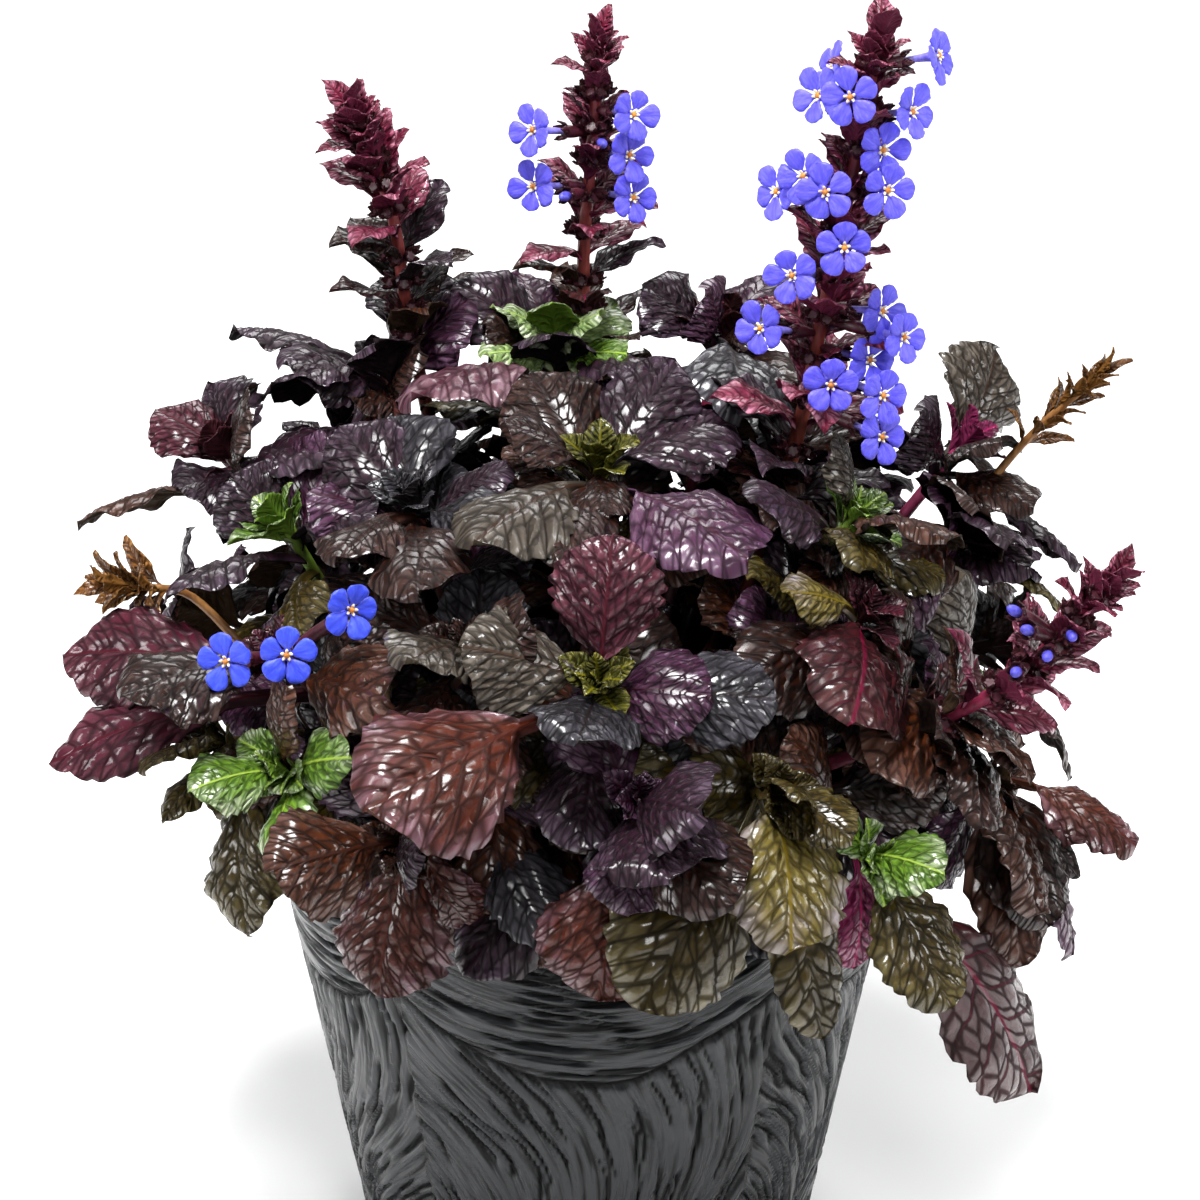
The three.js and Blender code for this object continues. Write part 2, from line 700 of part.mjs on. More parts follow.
const stemOf = (name) => [...leafy, ...flowering].find((one) => one.name === name);
for (const [name, centres] of Object.entries(blooms)) {
  const path = stemOf(name).path;
  const groups = [];
  for (const centre of centres.map(vector)) {
    const seat = seatOn(path, centre);
    const facing = facingOf(centre, seat);
    const length = THREE.MathUtils.clamp(tube.share * centre.distanceTo(seat), tube.least, tube.most);
    const inward = seat.clone().sub(centre).normalize();
    const solid = bloomSolid(centre, facing, centre.clone().addScaledVector(inward, length));
    place(name, calyxSolid(seat, centre.clone().addScaledVector(inward, length + clearance)));
    const touching = groups.filter((group) => group.some((other) => !other.intersect(solid).isEmpty()));
    const joined = [solid, ...touching.flat()];
    touching.forEach((group) => groups.splice(groups.indexOf(group), 1));
    groups.push(joined);
  }
  groups.forEach((group, i) => {
    const node = `bloom_${name.replace(/^(spike|shoot)_/, "")}_${i + 1}`;
    addNode(node, "bloom", 0.6);
    group.forEach((solid) => place(node, solid));
  });
}
for (const [name, centres] of Object.entries(buds)) {
  for (const centre of centres.map(vector)) {
    place(name, calyxSolid(seatOn(stemOf(name).path, centre), centre));
  }
}

for (const spike of flowering) {
  const start = draw() * 90;
  for (let row = 0; row < spike.rows; row++) {
    const share = (row / (spike.rows - 1)) ** spike.crowding;
    const down = spike.reach * (1 - spike.start) * (1 - share);
    const middle = pointBelow(spike.path, down);
    const axis = spike.path.getTangentAt(1 - down / spike.path.getLength());
    const across = new THREE.Vector3().crossVectors(axis, new THREE.Vector3(0, 1, 0)).normalize();
    const length = THREE.MathUtils.lerp(spike.long[0], spike.long[1], share);
    const lean = radians(THREE.MathUtils.lerp(spike.lean[0], spike.lean[1], share));
    for (const half of [0, 180]) {
      const heading = radians(start + 90 * row + half + spread(bract.headingSpread));
      const out = across.clone().applyAxisAngle(axis, heading);
      const way = axis.clone().multiplyScalar(Math.cos(lean)).addScaledVector(out, Math.sin(lean));
      const root = middle.clone().addScaledVector(out, rootOut);
      placeLeaf(spike.name, {
        root,
        tip: root.clone().addScaledVector(way, length),
        up: axis,
        wide: spike.slim * length,
        stalk: bract.stalk,
        detail: smallLeaf,
        arch: leaf.arch,
        droop: bract.cup,
        wave: leaf.wave,
      });
    }
  }
}

// The largest leaves take their places first, and the smaller ones bend round them.
const largeLeaves = leafy.flatMap((shoot) =>
  shoot.leaves.map(([down, tip, wide, stalk]) => {
    const end = vector(tip);
    const middle = pointBelow(shoot.path, down);
    const root = middle.clone().addScaledVector(end.clone().sub(middle).normalize(), rootOut);
    const length = end.distanceTo(root);
    const detail = detailFor(length * (1 - stalk));
    const shape = { ...leaf, root, tip: end, up: shoot.axis, wide, stalk, detail };
    return { node: shoot.name, size: length * wide, shape };
  }),
);
largeLeaves.sort((a, b) => b.size - a.size);
for (const { node, shape } of largeLeaves) placeLeaf(node, shape);
for (const shoot of leafy) placeYoung(shoot.name, shoot.path, shoot.axis, shoot.pairs, shoot.rule);

const group = new THREE.Group();
for (const [name, { colour, roughness, solids }] of nodes) {
  group.add(meshOf(name, wasm.Manifold.union(solids), colour, roughness));
}

export default group;
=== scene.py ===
import math
import bpy
import numpy as np
from mathutils import Matrix, Vector


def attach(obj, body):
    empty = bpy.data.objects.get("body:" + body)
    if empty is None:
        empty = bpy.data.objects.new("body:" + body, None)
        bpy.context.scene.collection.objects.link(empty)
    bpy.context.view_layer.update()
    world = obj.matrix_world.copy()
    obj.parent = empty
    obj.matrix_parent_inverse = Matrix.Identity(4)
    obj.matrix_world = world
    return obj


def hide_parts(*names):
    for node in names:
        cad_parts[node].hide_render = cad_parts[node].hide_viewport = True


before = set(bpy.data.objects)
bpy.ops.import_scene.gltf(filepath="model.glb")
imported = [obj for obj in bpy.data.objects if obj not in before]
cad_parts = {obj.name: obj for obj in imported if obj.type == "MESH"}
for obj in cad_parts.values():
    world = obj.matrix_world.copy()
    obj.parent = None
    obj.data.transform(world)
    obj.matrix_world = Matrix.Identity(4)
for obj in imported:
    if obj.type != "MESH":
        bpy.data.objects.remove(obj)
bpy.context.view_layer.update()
print("frame loaded:", len(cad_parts), "nodes")

# The camera looks down on the plant as the photograph does. Metres and degrees.
viewpoint = dict(place=(0.00325, -0.7505, 0.5871), tilt=62, lens=102, sensor=36)
eye = bpy.data.objects.new("camera", bpy.data.cameras.new("camera"))
eye.location = viewpoint["place"]
eye.rotation_euler = (math.radians(viewpoint["tilt"]), 0, 0)
eye.data.lens = viewpoint["lens"]
eye.data.sensor_width = viewpoint["sensor"]
bpy.context.scene.collection.objects.link(eye)
bpy.context.scene.camera = eye


class Wire:
    # A socket that takes part in sums. Each sum adds its own node to the tree.
    def __init__(self, tree, socket=None):
        self.tree = tree
        self.socket = socket

    def make(self, kind, settings=None, values=None, out=0):
        node = self.tree.nodes.new(kind)
        for name, value in (settings or {}).items():
            setattr(node, name, value)
        for name, value in (values or {}).items():
            if isinstance(value, Wire):
                self.tree.links.new(value.socket, node.inputs[name])
            else:
                node.inputs[name].default_value = value
        return Wire(self.tree, node.outputs[out]) if len(node.outputs) else Wire(self.tree)

    def reckon(self, operation, *terms):
        vectors = [t for t in terms if isinstance(t, tuple) or (isinstance(t, Wire) and t.socket.type == "VECTOR")]
        if not vectors:
            return self.make("ShaderNodeMath", {"operation": operation}, dict(enumerate(terms)))
        terms = [(t, t, t) if isinstance(t, (int, float)) else t for t in terms]
        out = 1 if operation in ("DOT_PRODUCT", "LENGTH") else 0
        return self.make("ShaderNodeVectorMath", {"operation": operation}, dict(enumerate(terms)), out)

    def __add__(self, other):
        return self.reckon("ADD", self, other)

    def __sub__(self, other):
        return self.reckon("SUBTRACT", self, other)

    def __rsub__(self, other):
        return self.reckon("SUBTRACT", other, self)

    def __mul__(self, other):
        return self.reckon("MULTIPLY", self, other)

    def __truediv__(self, other):
        return self.reckon("DIVIDE", self, other)

    def __pow__(self, other):
        return self.reckon("POWER", self, other)

    def __abs__(self):
        return self.reckon("ABSOLUTE", self)

    __radd__ = __add__
    __rmul__ = __mul__

    def least(self, other):
        return self.reckon("MINIMUM", self, other)

    def most(self, other):
        return self.reckon("MAXIMUM", self, other)

    def sine(self):
        return self.reckon("SINE", self)

    def fraction(self):
        return self.reckon("FRACT", self)

    def rise(self, low, high, first=0.0, last=1.0):
        ends = {"Value": self, "From Min": low, "From Max": high, "To Min": first, "To Max": last}
        return self.make("ShaderNodeMapRange", {"interpolation_type": "SMOOTHSTEP"}, ends)

    def blend(self, other, share, how="MIX"):
        settings = {"data_type": "RGBA", "blend_type": how}
        return self.make("ShaderNodeMix", settings, {0: share, 6: self, 7: other}, 2)

    def colourBetween(self, first, second):
        return self.make("ShaderNodeMix", {"data_type": "RGBA"}, {0: self, 6: first, 7: second}, 2)

    def noise(self, scale, detail, distortion=0.0):
        values = {"Vector": self, "Scale": scale, "Detail": detail, "Distortion": distortion}
        return self.make("ShaderNodeTexNoise", None, values)

    def net(self):
        # The distance to the nearest line of a flat net, as fine veins make on a leaf.
        settings = {"feature": "DISTANCE_TO_EDGE", "voronoi_dimensions": "2D"}
        return self.make("ShaderNodeTexVoronoi", settings, {"Vector": self, "Scale": 1.0})

    def parts(self):
        split = self.make("ShaderNodeSeparateXYZ", None, {0: self})
        return [Wire(self.tree, socket) for socket in split.socket.node.outputs]

    def joined(self, x, y, z):
        return self.make("ShaderNodeCombineXYZ", None, {0: x, 1: y, 2: z})


def colourOf(text, strength=1.0):
    # A paint chip such as "#4a1526" as the numbers that a shader mixes.
    levels = [int(text[i:i + 2], 16) / 255 for i in (1, 3, 5)]
    linear = [v / 12.92 if v <= 0.04045 else ((v + 0.055) / 1.055) ** 2.4 for v in levels]
    return (*[v * strength for v in linear], 1.0)


# One row for each leaf, stem point or bead. What a row leaves out takes the value given here.
carried = dict(
    kind=("INT", 0), root=("FLOAT_VECTOR", (0, 0, 0)), way=("FLOAT_VECTOR", (1, 0, 0)),
    upward=("FLOAT_VECTOR", (0, 0, 1)), form=("FLOAT_VECTOR", (8, 0.1, 0)), bend=("FLOAT_VECTOR", (0.1, 0.05, 0)),
    outline=("FLOAT_VECTOR", (1.25, 0.62, 8)), skin=("FLOAT_VECTOR", (0.6, 0.07, 0)), thick=("FLOAT", 0.8),
    size=("FLOAT_VECTOR", (1, 1, 1)), tint=("FLOAT_COLOR", (0.1, 0.1, 0.1, 1)), deep=("FLOAT_COLOR", (0, 0, 0, 1)),
    rim=("FLOAT_COLOR", (0.1, 0.1, 0.1, 1)), ribs=("FLOAT_COLOR", (0.1, 0.1, 0.1, 1)),
    back=("FLOAT_COLOR", (0.1, 0.1, 0.1, 1)))
fields = {"INT": "value", "FLOAT": "value", "FLOAT_VECTOR": "vector", "FLOAT_COLOR": "color"}
kinds = dict(fine=0, middle=1, small=2, tiny=3, stem=4, bead=5)


class Sprig:
    # What one piece of the plant is made of, before the tree gives it its shape. Millimetres.
    def __init__(self):
        self.rows = []
        self.edges = []

    def leaf(self, root, tip, up, **values):
        root, tip = np.array(root, float), np.array(tip, float)
        self.rows.append(dict(values, at=root, root=root, way=tip - root, upward=up))

    def stem(self, points, thick, tints):
        start = len(self.rows)
        last = len(points) - 1
        for i, point in enumerate(points):
            share = i / last
            radius = np.interp(share, np.linspace(0, 1, len(thick)), thick)
            tint = [np.interp(share, np.linspace(0, 1, len(tints)), [t[c] for t in tints]) for c in range(4)]
            self.rows.append(dict(at=point, kind=kinds["stem"], thick=radius, tint=tint))
        self.edges += [(start + i, start + i + 1) for i in range(last)]

    def bead(self, centre, way, size, tint):
        self.rows.append(dict(at=centre, kind=kinds["bead"], root=centre, way=way, size=size, tint=tint))

    def mesh(self, name):
        mesh = bpy.data.meshes.new(name)
        mesh.from_pydata([tuple(row["at"]) for row in self.rows], self.edges, [])
        for key, (kind, usual) in carried.items():
            attribute = mesh.attributes.new(key, kind, "POINT")
            values = np.array([row.get(key, usual) for row in self.rows], int if kind == "INT" else float)
            attribute.data.foreach_set(fields[kind], values.ravel())
        return mesh


# How fine each kind of blank is (rows along, rows across), and the veins, cells and edges that all leaves share.
leafMaking = dict(
    blanks=[(45, 23), (29, 15), (17, 9), (8, 5)], stemSides=8, beadRounds=2, endRows=0.055,
    veinPairs=5.8, veinSlant=0.75, veinCurve=0.012, veinStagger=0.22, cellsPerVein=1.4, cellsAcross=0.85, seedStep=31.7,
    cellShare=0.085, leastCell=1.8, mostCell=3.4, relief=1.45, reliefCell=3.0, sunk=0.35, midrib=0.6, keel=0.45,
    toothRound=0.6, stalkShare=0.09, stalkHalf=1.15, tipHalf=0.3, stalkThick=1.5, stalkThickShare=0.12,
    frill=0.03, frillWaves=26, edgeWaves=3, swellAcross=0.1, edgeThin=0.65, tipThin=0.45)


def readField(wire, name, kind):
    return wire.make("GeometryNodeInputNamedAttribute", {"data_type": kind}, {"Name": name})


def store(wire, geometry, name, kind, value):
    settings = {"data_type": kind, "domain": "POINT"}
    return wire.make("GeometryNodeStoreNamedAttribute", settings, {"Geometry": geometry, "Name": name, "Value": value})


def leafFrame(wire):
    # The three ways of a leaf: along it, across it, and out of its upper face.
    way = readField(wire, "way", "FLOAT_VECTOR")
    along = way.reckon("NORMALIZE", way)
    across = way.reckon("NORMALIZE", way.reckon("CROSS_PRODUCT", along, readField(wire, "upward", "FLOAT_VECTOR")))
    return way.reckon("LENGTH", way), along, across, way.reckon("CROSS_PRODUCT", across, along)


def shapeBlades(wire, geometry, sizes):
    rule = leafMaking
    reach, along, across, face = leafFrame(wire)
    x, side, skinSide = readField(wire, "blank", "FLOAT_VECTOR").parts()
    wide, stalk, droop = readField(wire, "form", "FLOAT_VECTOR").parts()
    arch, wave, curl = readField(wire, "bend", "FLOAT_VECTOR").parts()
    bulge, fullness, teeth = readField(wire, "outline", "FLOAT_VECTOR").parts()
    relief, toothDepth, seed = readField(wire, "skin", "FLOAT_VECTOR").parts()
    thick = readField(wire, "thick", "FLOAT")
    u = x + 0.5
    u = u - rule["endRows"] * (u * (2 * math.pi)).sine()  # closer rows at the stalk and the tip
    v = ((u - stalk) / (1 - stalk)).most(0.0).least(1.0)
    outer = abs(side)
    swell = ((v ** bulge) * math.pi).sine().most(0.0) ** fullness
    tooth = abs((v * teeth * math.pi).sine()) ** rule["toothRound"] - 0.6
    stalkHalf = (wide * rule["stalkShare"]).least(sizes["Stalk half"])
    narrow = v.rise(0.0, 0.3) * (sizes["Tip half"] - stalkHalf) + stalkHalf
    half = (wide * 0.5 * swell * (1 + toothDepth * tooth)).most(narrow)
    yonder = side * half
    distance = abs(yonder)
    bladeLength = reach * (1 - stalk)
    forward = v * bladeLength
    cell = (bladeLength * sizes["Cell share"]).most(sizes["Least cell"]).least(sizes["Most cell"])
    gap = bladeLength / sizes["Vein pairs"]
    veins = (forward - distance * rule["veinSlant"] - distance * distance * rule["veinCurve"]) / gap
    veins = veins + rule["veinStagger"] * wire.reckon("SIGN", side)
    between = 1 - abs(veins.fraction() - 0.5) * 2  # 0 on a side vein, 1 half way to the next
    skinPlace = wire.joined(  # cells in rows beside the side veins
        veins * rule["cellsPerVein"], yonder / cell * rule["cellsAcross"] + seed * rule["seedStep"], seed)
    cells = skinPlace.net()
    pillow = between.rise(0.0, 0.9) * 0.5 + cells.rise(0.0, 0.5) * 0.5
    groove = (distance / (cell * rule["midrib"])).rise(0.0, 1.0)
    fade = v.rise(0.0, 0.12) * v.rise(0.9, 1.0, 1.0, 0.0) * outer.rise(0.85, 1.0, 1.0, 0.25)
    raised = pillow * groove * fade
    bumps = (raised - rule["sunk"] * fade) * relief * sizes["Relief"] * (cell / rule["reliefCell"])
    top = skinSide.rise(0.3, 0.5)
    bumps = bumps * (top * 0.5 + 0.5)  # the underside shows the relief less
    edgeTurn = v * (rule["edgeWaves"] * math.pi) + 0.4 * math.pi * wire.reckon("SIGN", side)
    wander = wave * wide * edgeTurn.sine() * outer * outer
    frill = (v * rule["frillWaves"] + seed * 5 + side * 2).sine()
    wander = wander + wide * rule["frill"] * frill * outer ** 3 * v.rise(0.1, 0.3)
    sag = droop * half * outer ** 1.5 + rule["swellAcross"] * half * (outer * math.pi).sine() * v.rise(0.1, 0.4)
    bow = 4.0 * arch * reach * u * (1 - u) - curl * reach * v * v * v
    body = thick * (1 - rule["edgeThin"] * outer * outer) * (1 - rule["tipThin"] * v)
    stalkBody = (wide * rule["stalkThickShare"]).least(sizes["Stalk thickness"]) * (1 - 0.6 * outer * outer)
    body = u.rise(stalk, stalk + 0.2, 1.0, 0.0) * (stalkBody - body) + body
    keel = (1 - (distance / (cell * rule["keel"])).rise(0.0, 1.0)) * (1 - top)
    keel = keel * (1 - v) * thick * 0.6 * v.rise(0.0, 0.1)
    height = bow + sag + wander + bumps + skinSide * body - keel
    place = readField(wire, "root", "FLOAT_VECTOR") + along * (reach * u) + across * yonder + face * height
    for name, value in (("share", wire.joined(v, side, skinSide)), ("skinPlace", skinPlace),
                        ("veins", wire.joined(veins, cell, yonder))):
        geometry = store(wire, geometry, name, "FLOAT_VECTOR", value)
    return wire.make("GeometryNodeSetPosition", None, {"Geometry": geometry, "Position": place})


def pick(wire, kind):
    return wire.make("FunctionNodeCompare", {"data_type": "INT", "operation": "EQUAL"},
                     {2: readField(wire, "kind", "INT"), 3: kind})


def openTree(tree, inputs):
    # Names a tree's inputs and gives them back as wires.
    for name, kind, usual in inputs:
        socket = tree.interface.new_socket(name, in_out="INPUT", socket_type="NodeSocket" + kind)
        if usual is not None:
            socket.default_value = usual
    tree.interface.new_socket("Geometry", in_out="OUTPUT", socket_type="NodeSocketGeometry")
    source = tree.nodes.new("NodeGroupInput")
    return {socket.name: Wire(tree, socket) for socket in source.outputs if socket.name}


def growTree():
    # Turns the rows of a sprig into blades, stems and beads.
    tree = bpy.data.node_groups.new("leaves_and_stems", "GeometryNodeTree")
    inputs = [("Geometry", "Geometry", None)]
    inputs += [(name, "Material", None) for name in ("Leaf finish", "Stem finish", "Bead finish")]
    inputs += [(name, "Float", leafMaking[key]) for name, key in (
        ("Relief", "relief"), ("Vein pairs", "veinPairs"), ("Cell share", "cellShare"), ("Least cell", "leastCell"),
        ("Most cell", "mostCell"), ("Stalk half", "stalkHalf"), ("Tip half", "tipHalf"),
        ("Stalk thickness", "stalkThick"))]
    sizes = openTree(tree, inputs)
    wire = sizes["Geometry"]
    blades = []
    for kind, (rowsAlong, rowsAcross) in enumerate(leafMaking["blanks"]):
        blank = wire.make("GeometryNodeMeshCube", None, {
            "Size": (1, 2, 1), "Vertices X": rowsAlong, "Vertices Y": rowsAcross, "Vertices Z": 2})
        blank = store(wire, blank, "blank", "FLOAT_VECTOR", wire.make("GeometryNodeInputPosition"))
        points = wire.make("GeometryNodeSeparateGeometry", {"domain": "POINT"},
                           {"Geometry": wire, "Selection": pick(wire, kind)})
        copies = wire.make("GeometryNodeInstanceOnPoints", None, {"Points": points, "Instance": blank})
        blades.append(wire.make("GeometryNodeRealizeInstances", None, {"Geometry": copies}))
    joined = wire.make("GeometryNodeJoinGeometry")
    for one in blades:
        tree.links.new(one.socket, joined.socket.node.inputs[0])
    leaves = shapeBlades(wire, joined, sizes)

    lines = wire.make("GeometryNodeSeparateGeometry", {"domain": "POINT"},
                      {"Geometry": wire, "Selection": pick(wire, kinds["stem"])})
    lines = wire.make("GeometryNodeMeshToCurve", None, {"Mesh": lines})
    ring = wire.make("GeometryNodeCurvePrimitiveCircle", None, {"Resolution": leafMaking["stemSides"], "Radius": 1.0})
    stems = wire.make("GeometryNodeCurveToMesh", None, {
        "Curve": lines, "Profile Curve": ring, "Scale": readField(wire, "thick", "FLOAT"), "Fill Caps": True})

    dots = wire.make("GeometryNodeSeparateGeometry", {"domain": "POINT"},
                     {"Geometry": wire, "Selection": pick(wire, kinds["bead"])})
    ball = wire.make("GeometryNodeMeshIcoSphere", None, {"Radius": 1.0, "Subdivisions": leafMaking["beadRounds"]})
    ball = store(wire, ball, "blank", "FLOAT_VECTOR", wire.make("GeometryNodeInputPosition"))
    beads = wire.make("GeometryNodeInstanceOnPoints", None, {"Points": dots, "Instance": ball})
    beads = wire.make("GeometryNodeRealizeInstances", None, {"Geometry": beads})
    reach, along, across, face = leafFrame(wire)
    x, y, z = (readField(wire, "blank", "FLOAT_VECTOR") * readField(wire, "size", "FLOAT_VECTOR")).parts()
    place = readField(wire, "root", "FLOAT_VECTOR") + along * x + across * y + face * z
    beads = wire.make("GeometryNodeSetPosition", None, {"Geometry": beads, "Position": place})

    whole = wire.make("GeometryNodeJoinGeometry")
    for one in (leaves, stems, beads):
        tree.links.new(one.socket, whole.socket.node.inputs[0])
    whole = wire.make("GeometryNodeSetShadeSmooth", None, {"Geometry": whole, "Shade Smooth": True})
    whole = wire.make("GeometryNodeRealizeInstances", None, {"Geometry": whole})
    whole = wire.make("GeometryNodeSetMaterial", None, {"Geometry": whole, "Material": sizes["Leaf finish"]})
    for kind, finish in (("stem", "Stem finish"), ("bead", "Bead finish")):
        whole = wire.make("GeometryNodeSetMaterial", None, {
            "Geometry": whole, "Selection": pick(wire, kinds[kind]), "Material": sizes[finish]})
    end = tree.nodes.new("NodeGroupOutput")
    tree.links.new(whole.socket, end.inputs[0])
    return tree


def plainMesh(name, mesh, tree, values, scale=1.0):
    # Runs a tree on a mesh and keeps the result as an object of its own.
    seedling = bpy.data.objects.new(name + "_plan", mesh)
    bpy.context.scene.collection.objects.link(seedling)
    modifier = seedling.modifiers.new("grow", "NODES")
    modifier.node_group = tree
    for item in tree.interface.items_tree:
        if item.in_out == "INPUT" and item.name in values:
            modifier[item.identifier] = values[item.name]
    bpy.context.view_layer.update()
    graph = bpy.context.evaluated_depsgraph_get()
    made = bpy.data.meshes.new_from_object(
        seedling.evaluated_get(graph), preserve_all_data_layers=True, depsgraph=graph)
    made.transform(Matrix.Scale(scale, 4))
    made.name = name
    seedling.modifiers.remove(modifier)
    bpy.data.objects.remove(seedling)
    piece = bpy.data.objects.new(name, made)
    bpy.context.scene.collection.objects.link(piece)
    return piece


# Finishes. Each tone is the paint of one kind of leaf: its raised skin, its grooves (darker, as painted shade), its
# edge and tip (paler, partly the leaf's own colour and partly painted highlight), its ribs, its back.
tones = dict(
    dusk=("#5a3248", "#10060c", "#8a6c88", "#3a1c2c", "#3a2830"),
    umber=("#582c1c", "#0c0503", "#745048", "#2c120c", "#3c241c"),
    burgundy=("#84304a", "#20040e", "#a4586c", "#6c0c28", "#5c2430"),
    bronze=("#84421f", "#180a04", "#a87868", "#54240e", "#58402a"),
    rust=("#8c3c22", "#240a04", "#b8889a", "#702810", "#70402a"),
    olive=("#7c6410", "#161002", "#a8985c", "#504006", "#5c5020"),
    fresh=("#7ca830", "#1c3a06", "#dce4c4", "#a8c848", "#749a30"),
    plum=("#7c3c68", "#1c0416", "#a878a0", "#50082c", "#4c2440"),
    slate=("#5c5660", "#080608", "#8c8894", "#281418", "#3a3034"),
    pale=("#b4cc80", "#40602c", "#f0f2e6", "#a8c464", "#98b068"),
    rose=("#884c60", "#280814", "#cca4b0", "#601430", "#6c3c48"),
    silver=("#887868", "#1c1208", "#b0a494", "#54341f", "#6c604c"),
    magenta=("#b02c70", "#480424", "#c8588c", "#d02070", "#802450"),
    wine=("#7c3038", "#1c0508", "#8c4c4c", "#b01450", "#602c30"),
    gold=("#ac9844", "#302404", "#d8c8d0", "#947c08", "#806c20"),
    moss=("#70701c", "#181604", "#98903c", "#847c08", "#585810"),
    bract=("#94284c", "#300414", "#d08ca4", "#640a24", "#5c1c34"),
    straw=("#a86c2c", "#482408", "#c89454", "#6c3c0c", "#805420"),
    blue=("#3048f4", "#1c20b4", "#5068ff", "#2428bc", "#4a54e4"),
    violet=("#554cf0", "#342cc0", "#7870ff", "#3c30c0", "#6058e0"),
    calyx=("#74203c", "#24040c", "#985068", "#500c1c", "#4c1c24"))
toneParts = ("tint", "deep", "rim", "ribs", "back")
# How strong a tone's paint is. Each leaf wears it a little lighter or darker.
usualStrength = 0.27
strengthSpread = 0.16
toneStrength = dict(
    fresh=0.62, pale=0.7, silver=0.25, gold=0.38, blue=0.75, violet=0.75, straw=0.6, bract=0.85, magenta=0.5, rust=0.33,
    rose=0.4, moss=0.55, olive=0.3, burgundy=0.32, wine=0.25, calyx=0.45)


def toneOf(name, draw):
    # A tone as a leaf wears it: a little lighter or darker each time.
    strength = toneStrength.get(name, usualStrength) * (1 + draw.spread(strengthSpread))
    return {part: colourOf(chip, strength) for part, chip in zip(toneParts, tones[name])}


def newFinish(name):
    finish = bpy.data.materials.new(name)
    finish.use_nodes = True
    shader = finish.node_tree.nodes["Principled BSDF"]
    return finish, shader, Wire(finish.node_tree)


def attributeOf(wire, name, out="Vector"):
    return wire.make("ShaderNodeAttribute", {"attribute_name": name}, None, out)


def placeOf(wire):
    return wire.make("ShaderNodeTexCoord", None, None, "Object")


def join(value, shader, socket):
    value.tree.links.new(value.socket, shader.inputs[socket])


def bump(height, distance):
    return height.make("ShaderNodeBump", None, {"Height": height, "Distance": distance, "Strength": 1.0})


# The coat shines on the raised cells and leaves the veins between them dull.
leafLook = dict(
    roughness=0.4, grooveRoughness=0.3, backRoughness=0.25, gloss=0.15, coat=0.95, coatRoughness=0.2, cellDepth=0.0016,
    mottleScale=0.45, veinWidth=0.26, netWidth=0.25, rim=0.85, rib=(0.08, 0.24), ribs=0.85, sideRibs=0.35)


def leafFinish():
    look = leafLook
    finish, shader, wire = newFinish("leaf_skin")
    colour = {part: attributeOf(wire, part, "Color") for part in toneParts}
    v, side, skinSide = attributeOf(wire, "share").parts()
    skinPlace = attributeOf(wire, "skinPlace")
    veins, cell, yonder = attributeOf(wire, "veins").parts()
    cells = skinPlace.net()
    mottle = skinPlace.noise(look["mottleScale"], 2.0)
    between = 1 - abs(veins.fraction() - 0.5) * 2
    pillow = (0.15 + 0.85 * between.rise(0.0, look["veinWidth"])) * (0.25 + 0.75 * cells.rise(0.0, look["netWidth"]))
    top = skinSide.rise(-0.3, 0.3)
    # The grooves between the raised cells take the deep colour as painted shade; the raised cells take the tint.
    skin = colour["deep"].blend(colour["tint"], pillow * (0.4 + 0.8 * mottle))
    # Towards the edge and the tip the raised cells lean to the rim colour: partly the leaf's own paler edge, partly
    # painted highlight.
    paleEdgeAndHighlight = (abs(side).rise(0.45, 1.0) + v.rise(0.6, 1.0)).least(1.0) * mottle.rise(0.35, 0.65) * pillow
    skin = skin.blend(colour["rim"], paleEdgeAndHighlight * look["rim"])
    ribLine = 1 - abs(yonder).rise(cell * look["rib"][0], cell * look["rib"][1])
    veinLine = (1 - between.rise(0.02, 0.12)) * (1 - abs(side).rise(0.5, 0.95)) * look["sideRibs"]
    skin = skin.blend(colour["ribs"], (ribLine * look["ribs"]).most(veinLine))
    underside = colour["back"].blend(colour["ribs"], (1 - between.rise(0.0, 0.2)) * 0.5)
    join(underside.blend(skin, top), shader, "Base Color")
    rough = look["roughness"] + look["grooveRoughness"] * (1 - pillow) + 0.12 * (mottle - 0.5)
    join(rough + look["backRoughness"] * (1 - top), shader, "Roughness")
    coat = pillow.rise(0.3, 0.75) * top * (0.5 + 0.5 * mottle.rise(0.3, 0.7))
    join(coat * look["coat"], shader, "Coat Weight")
    height = (cells.rise(0.0, 0.5) * 0.55 + between.rise(0.0, 0.8) * 0.45) * abs(yonder).rise(0.0, cell * 0.5)
    join(bump(height * (0.3 + 0.7 * top), look["cellDepth"]), shader, "Normal")
    shader.inputs["Coat Roughness"].default_value = look["coatRoughness"]
    shader.inputs["Specular IOR Level"].default_value = look["gloss"]
    return finish


petalLook = dict(streaks=(0.4, 3.4, 1.0), pale=0.6, line=0.2, lineStrength=0.7, eye=0.5, rough=(0.42, 0.58),
                 depth=0.00015, sheen=0.15)


def petalFinish():
    look = petalLook
    finish, shader, wire = newFinish("petal_skin")
    colour = {part: attributeOf(wire, part, "Color") for part in toneParts}
    v, side, _ = attributeOf(wire, "share").parts()
    streaks = (attributeOf(wire, "skinPlace") * look["streaks"]).noise(1.0, 2.0)
    skin = colour["tint"].blend(colour["rim"], streaks.rise(0.4, 0.75) * look["pale"])
    middleLine = (1 - abs(side).rise(0.0, look["line"])) * v.rise(0.0, 0.8, look["lineStrength"], 0.0)
    skin = skin.blend(colour["deep"], middleLine)
    skin = skin.blend(colour["ribs"], v.rise(0.0, 0.25, look["eye"], 0.0))
    join(skin, shader, "Base Color")
    join(streaks.rise(0.2, 0.8, *look["rough"]), shader, "Roughness")
    join(bump(streaks, look["depth"]), shader, "Normal")
    shader.inputs["Sheen Weight"].default_value = look["sheen"]
    return finish


stemLook = dict(long=(1.0, 1.0, 0.22), streakScale=900.0, blotchScale=180.0, dark=(0.4, 0.3, 0.3, 1), depth=0.0002,
                smoother=0.1, rougher=0.15)


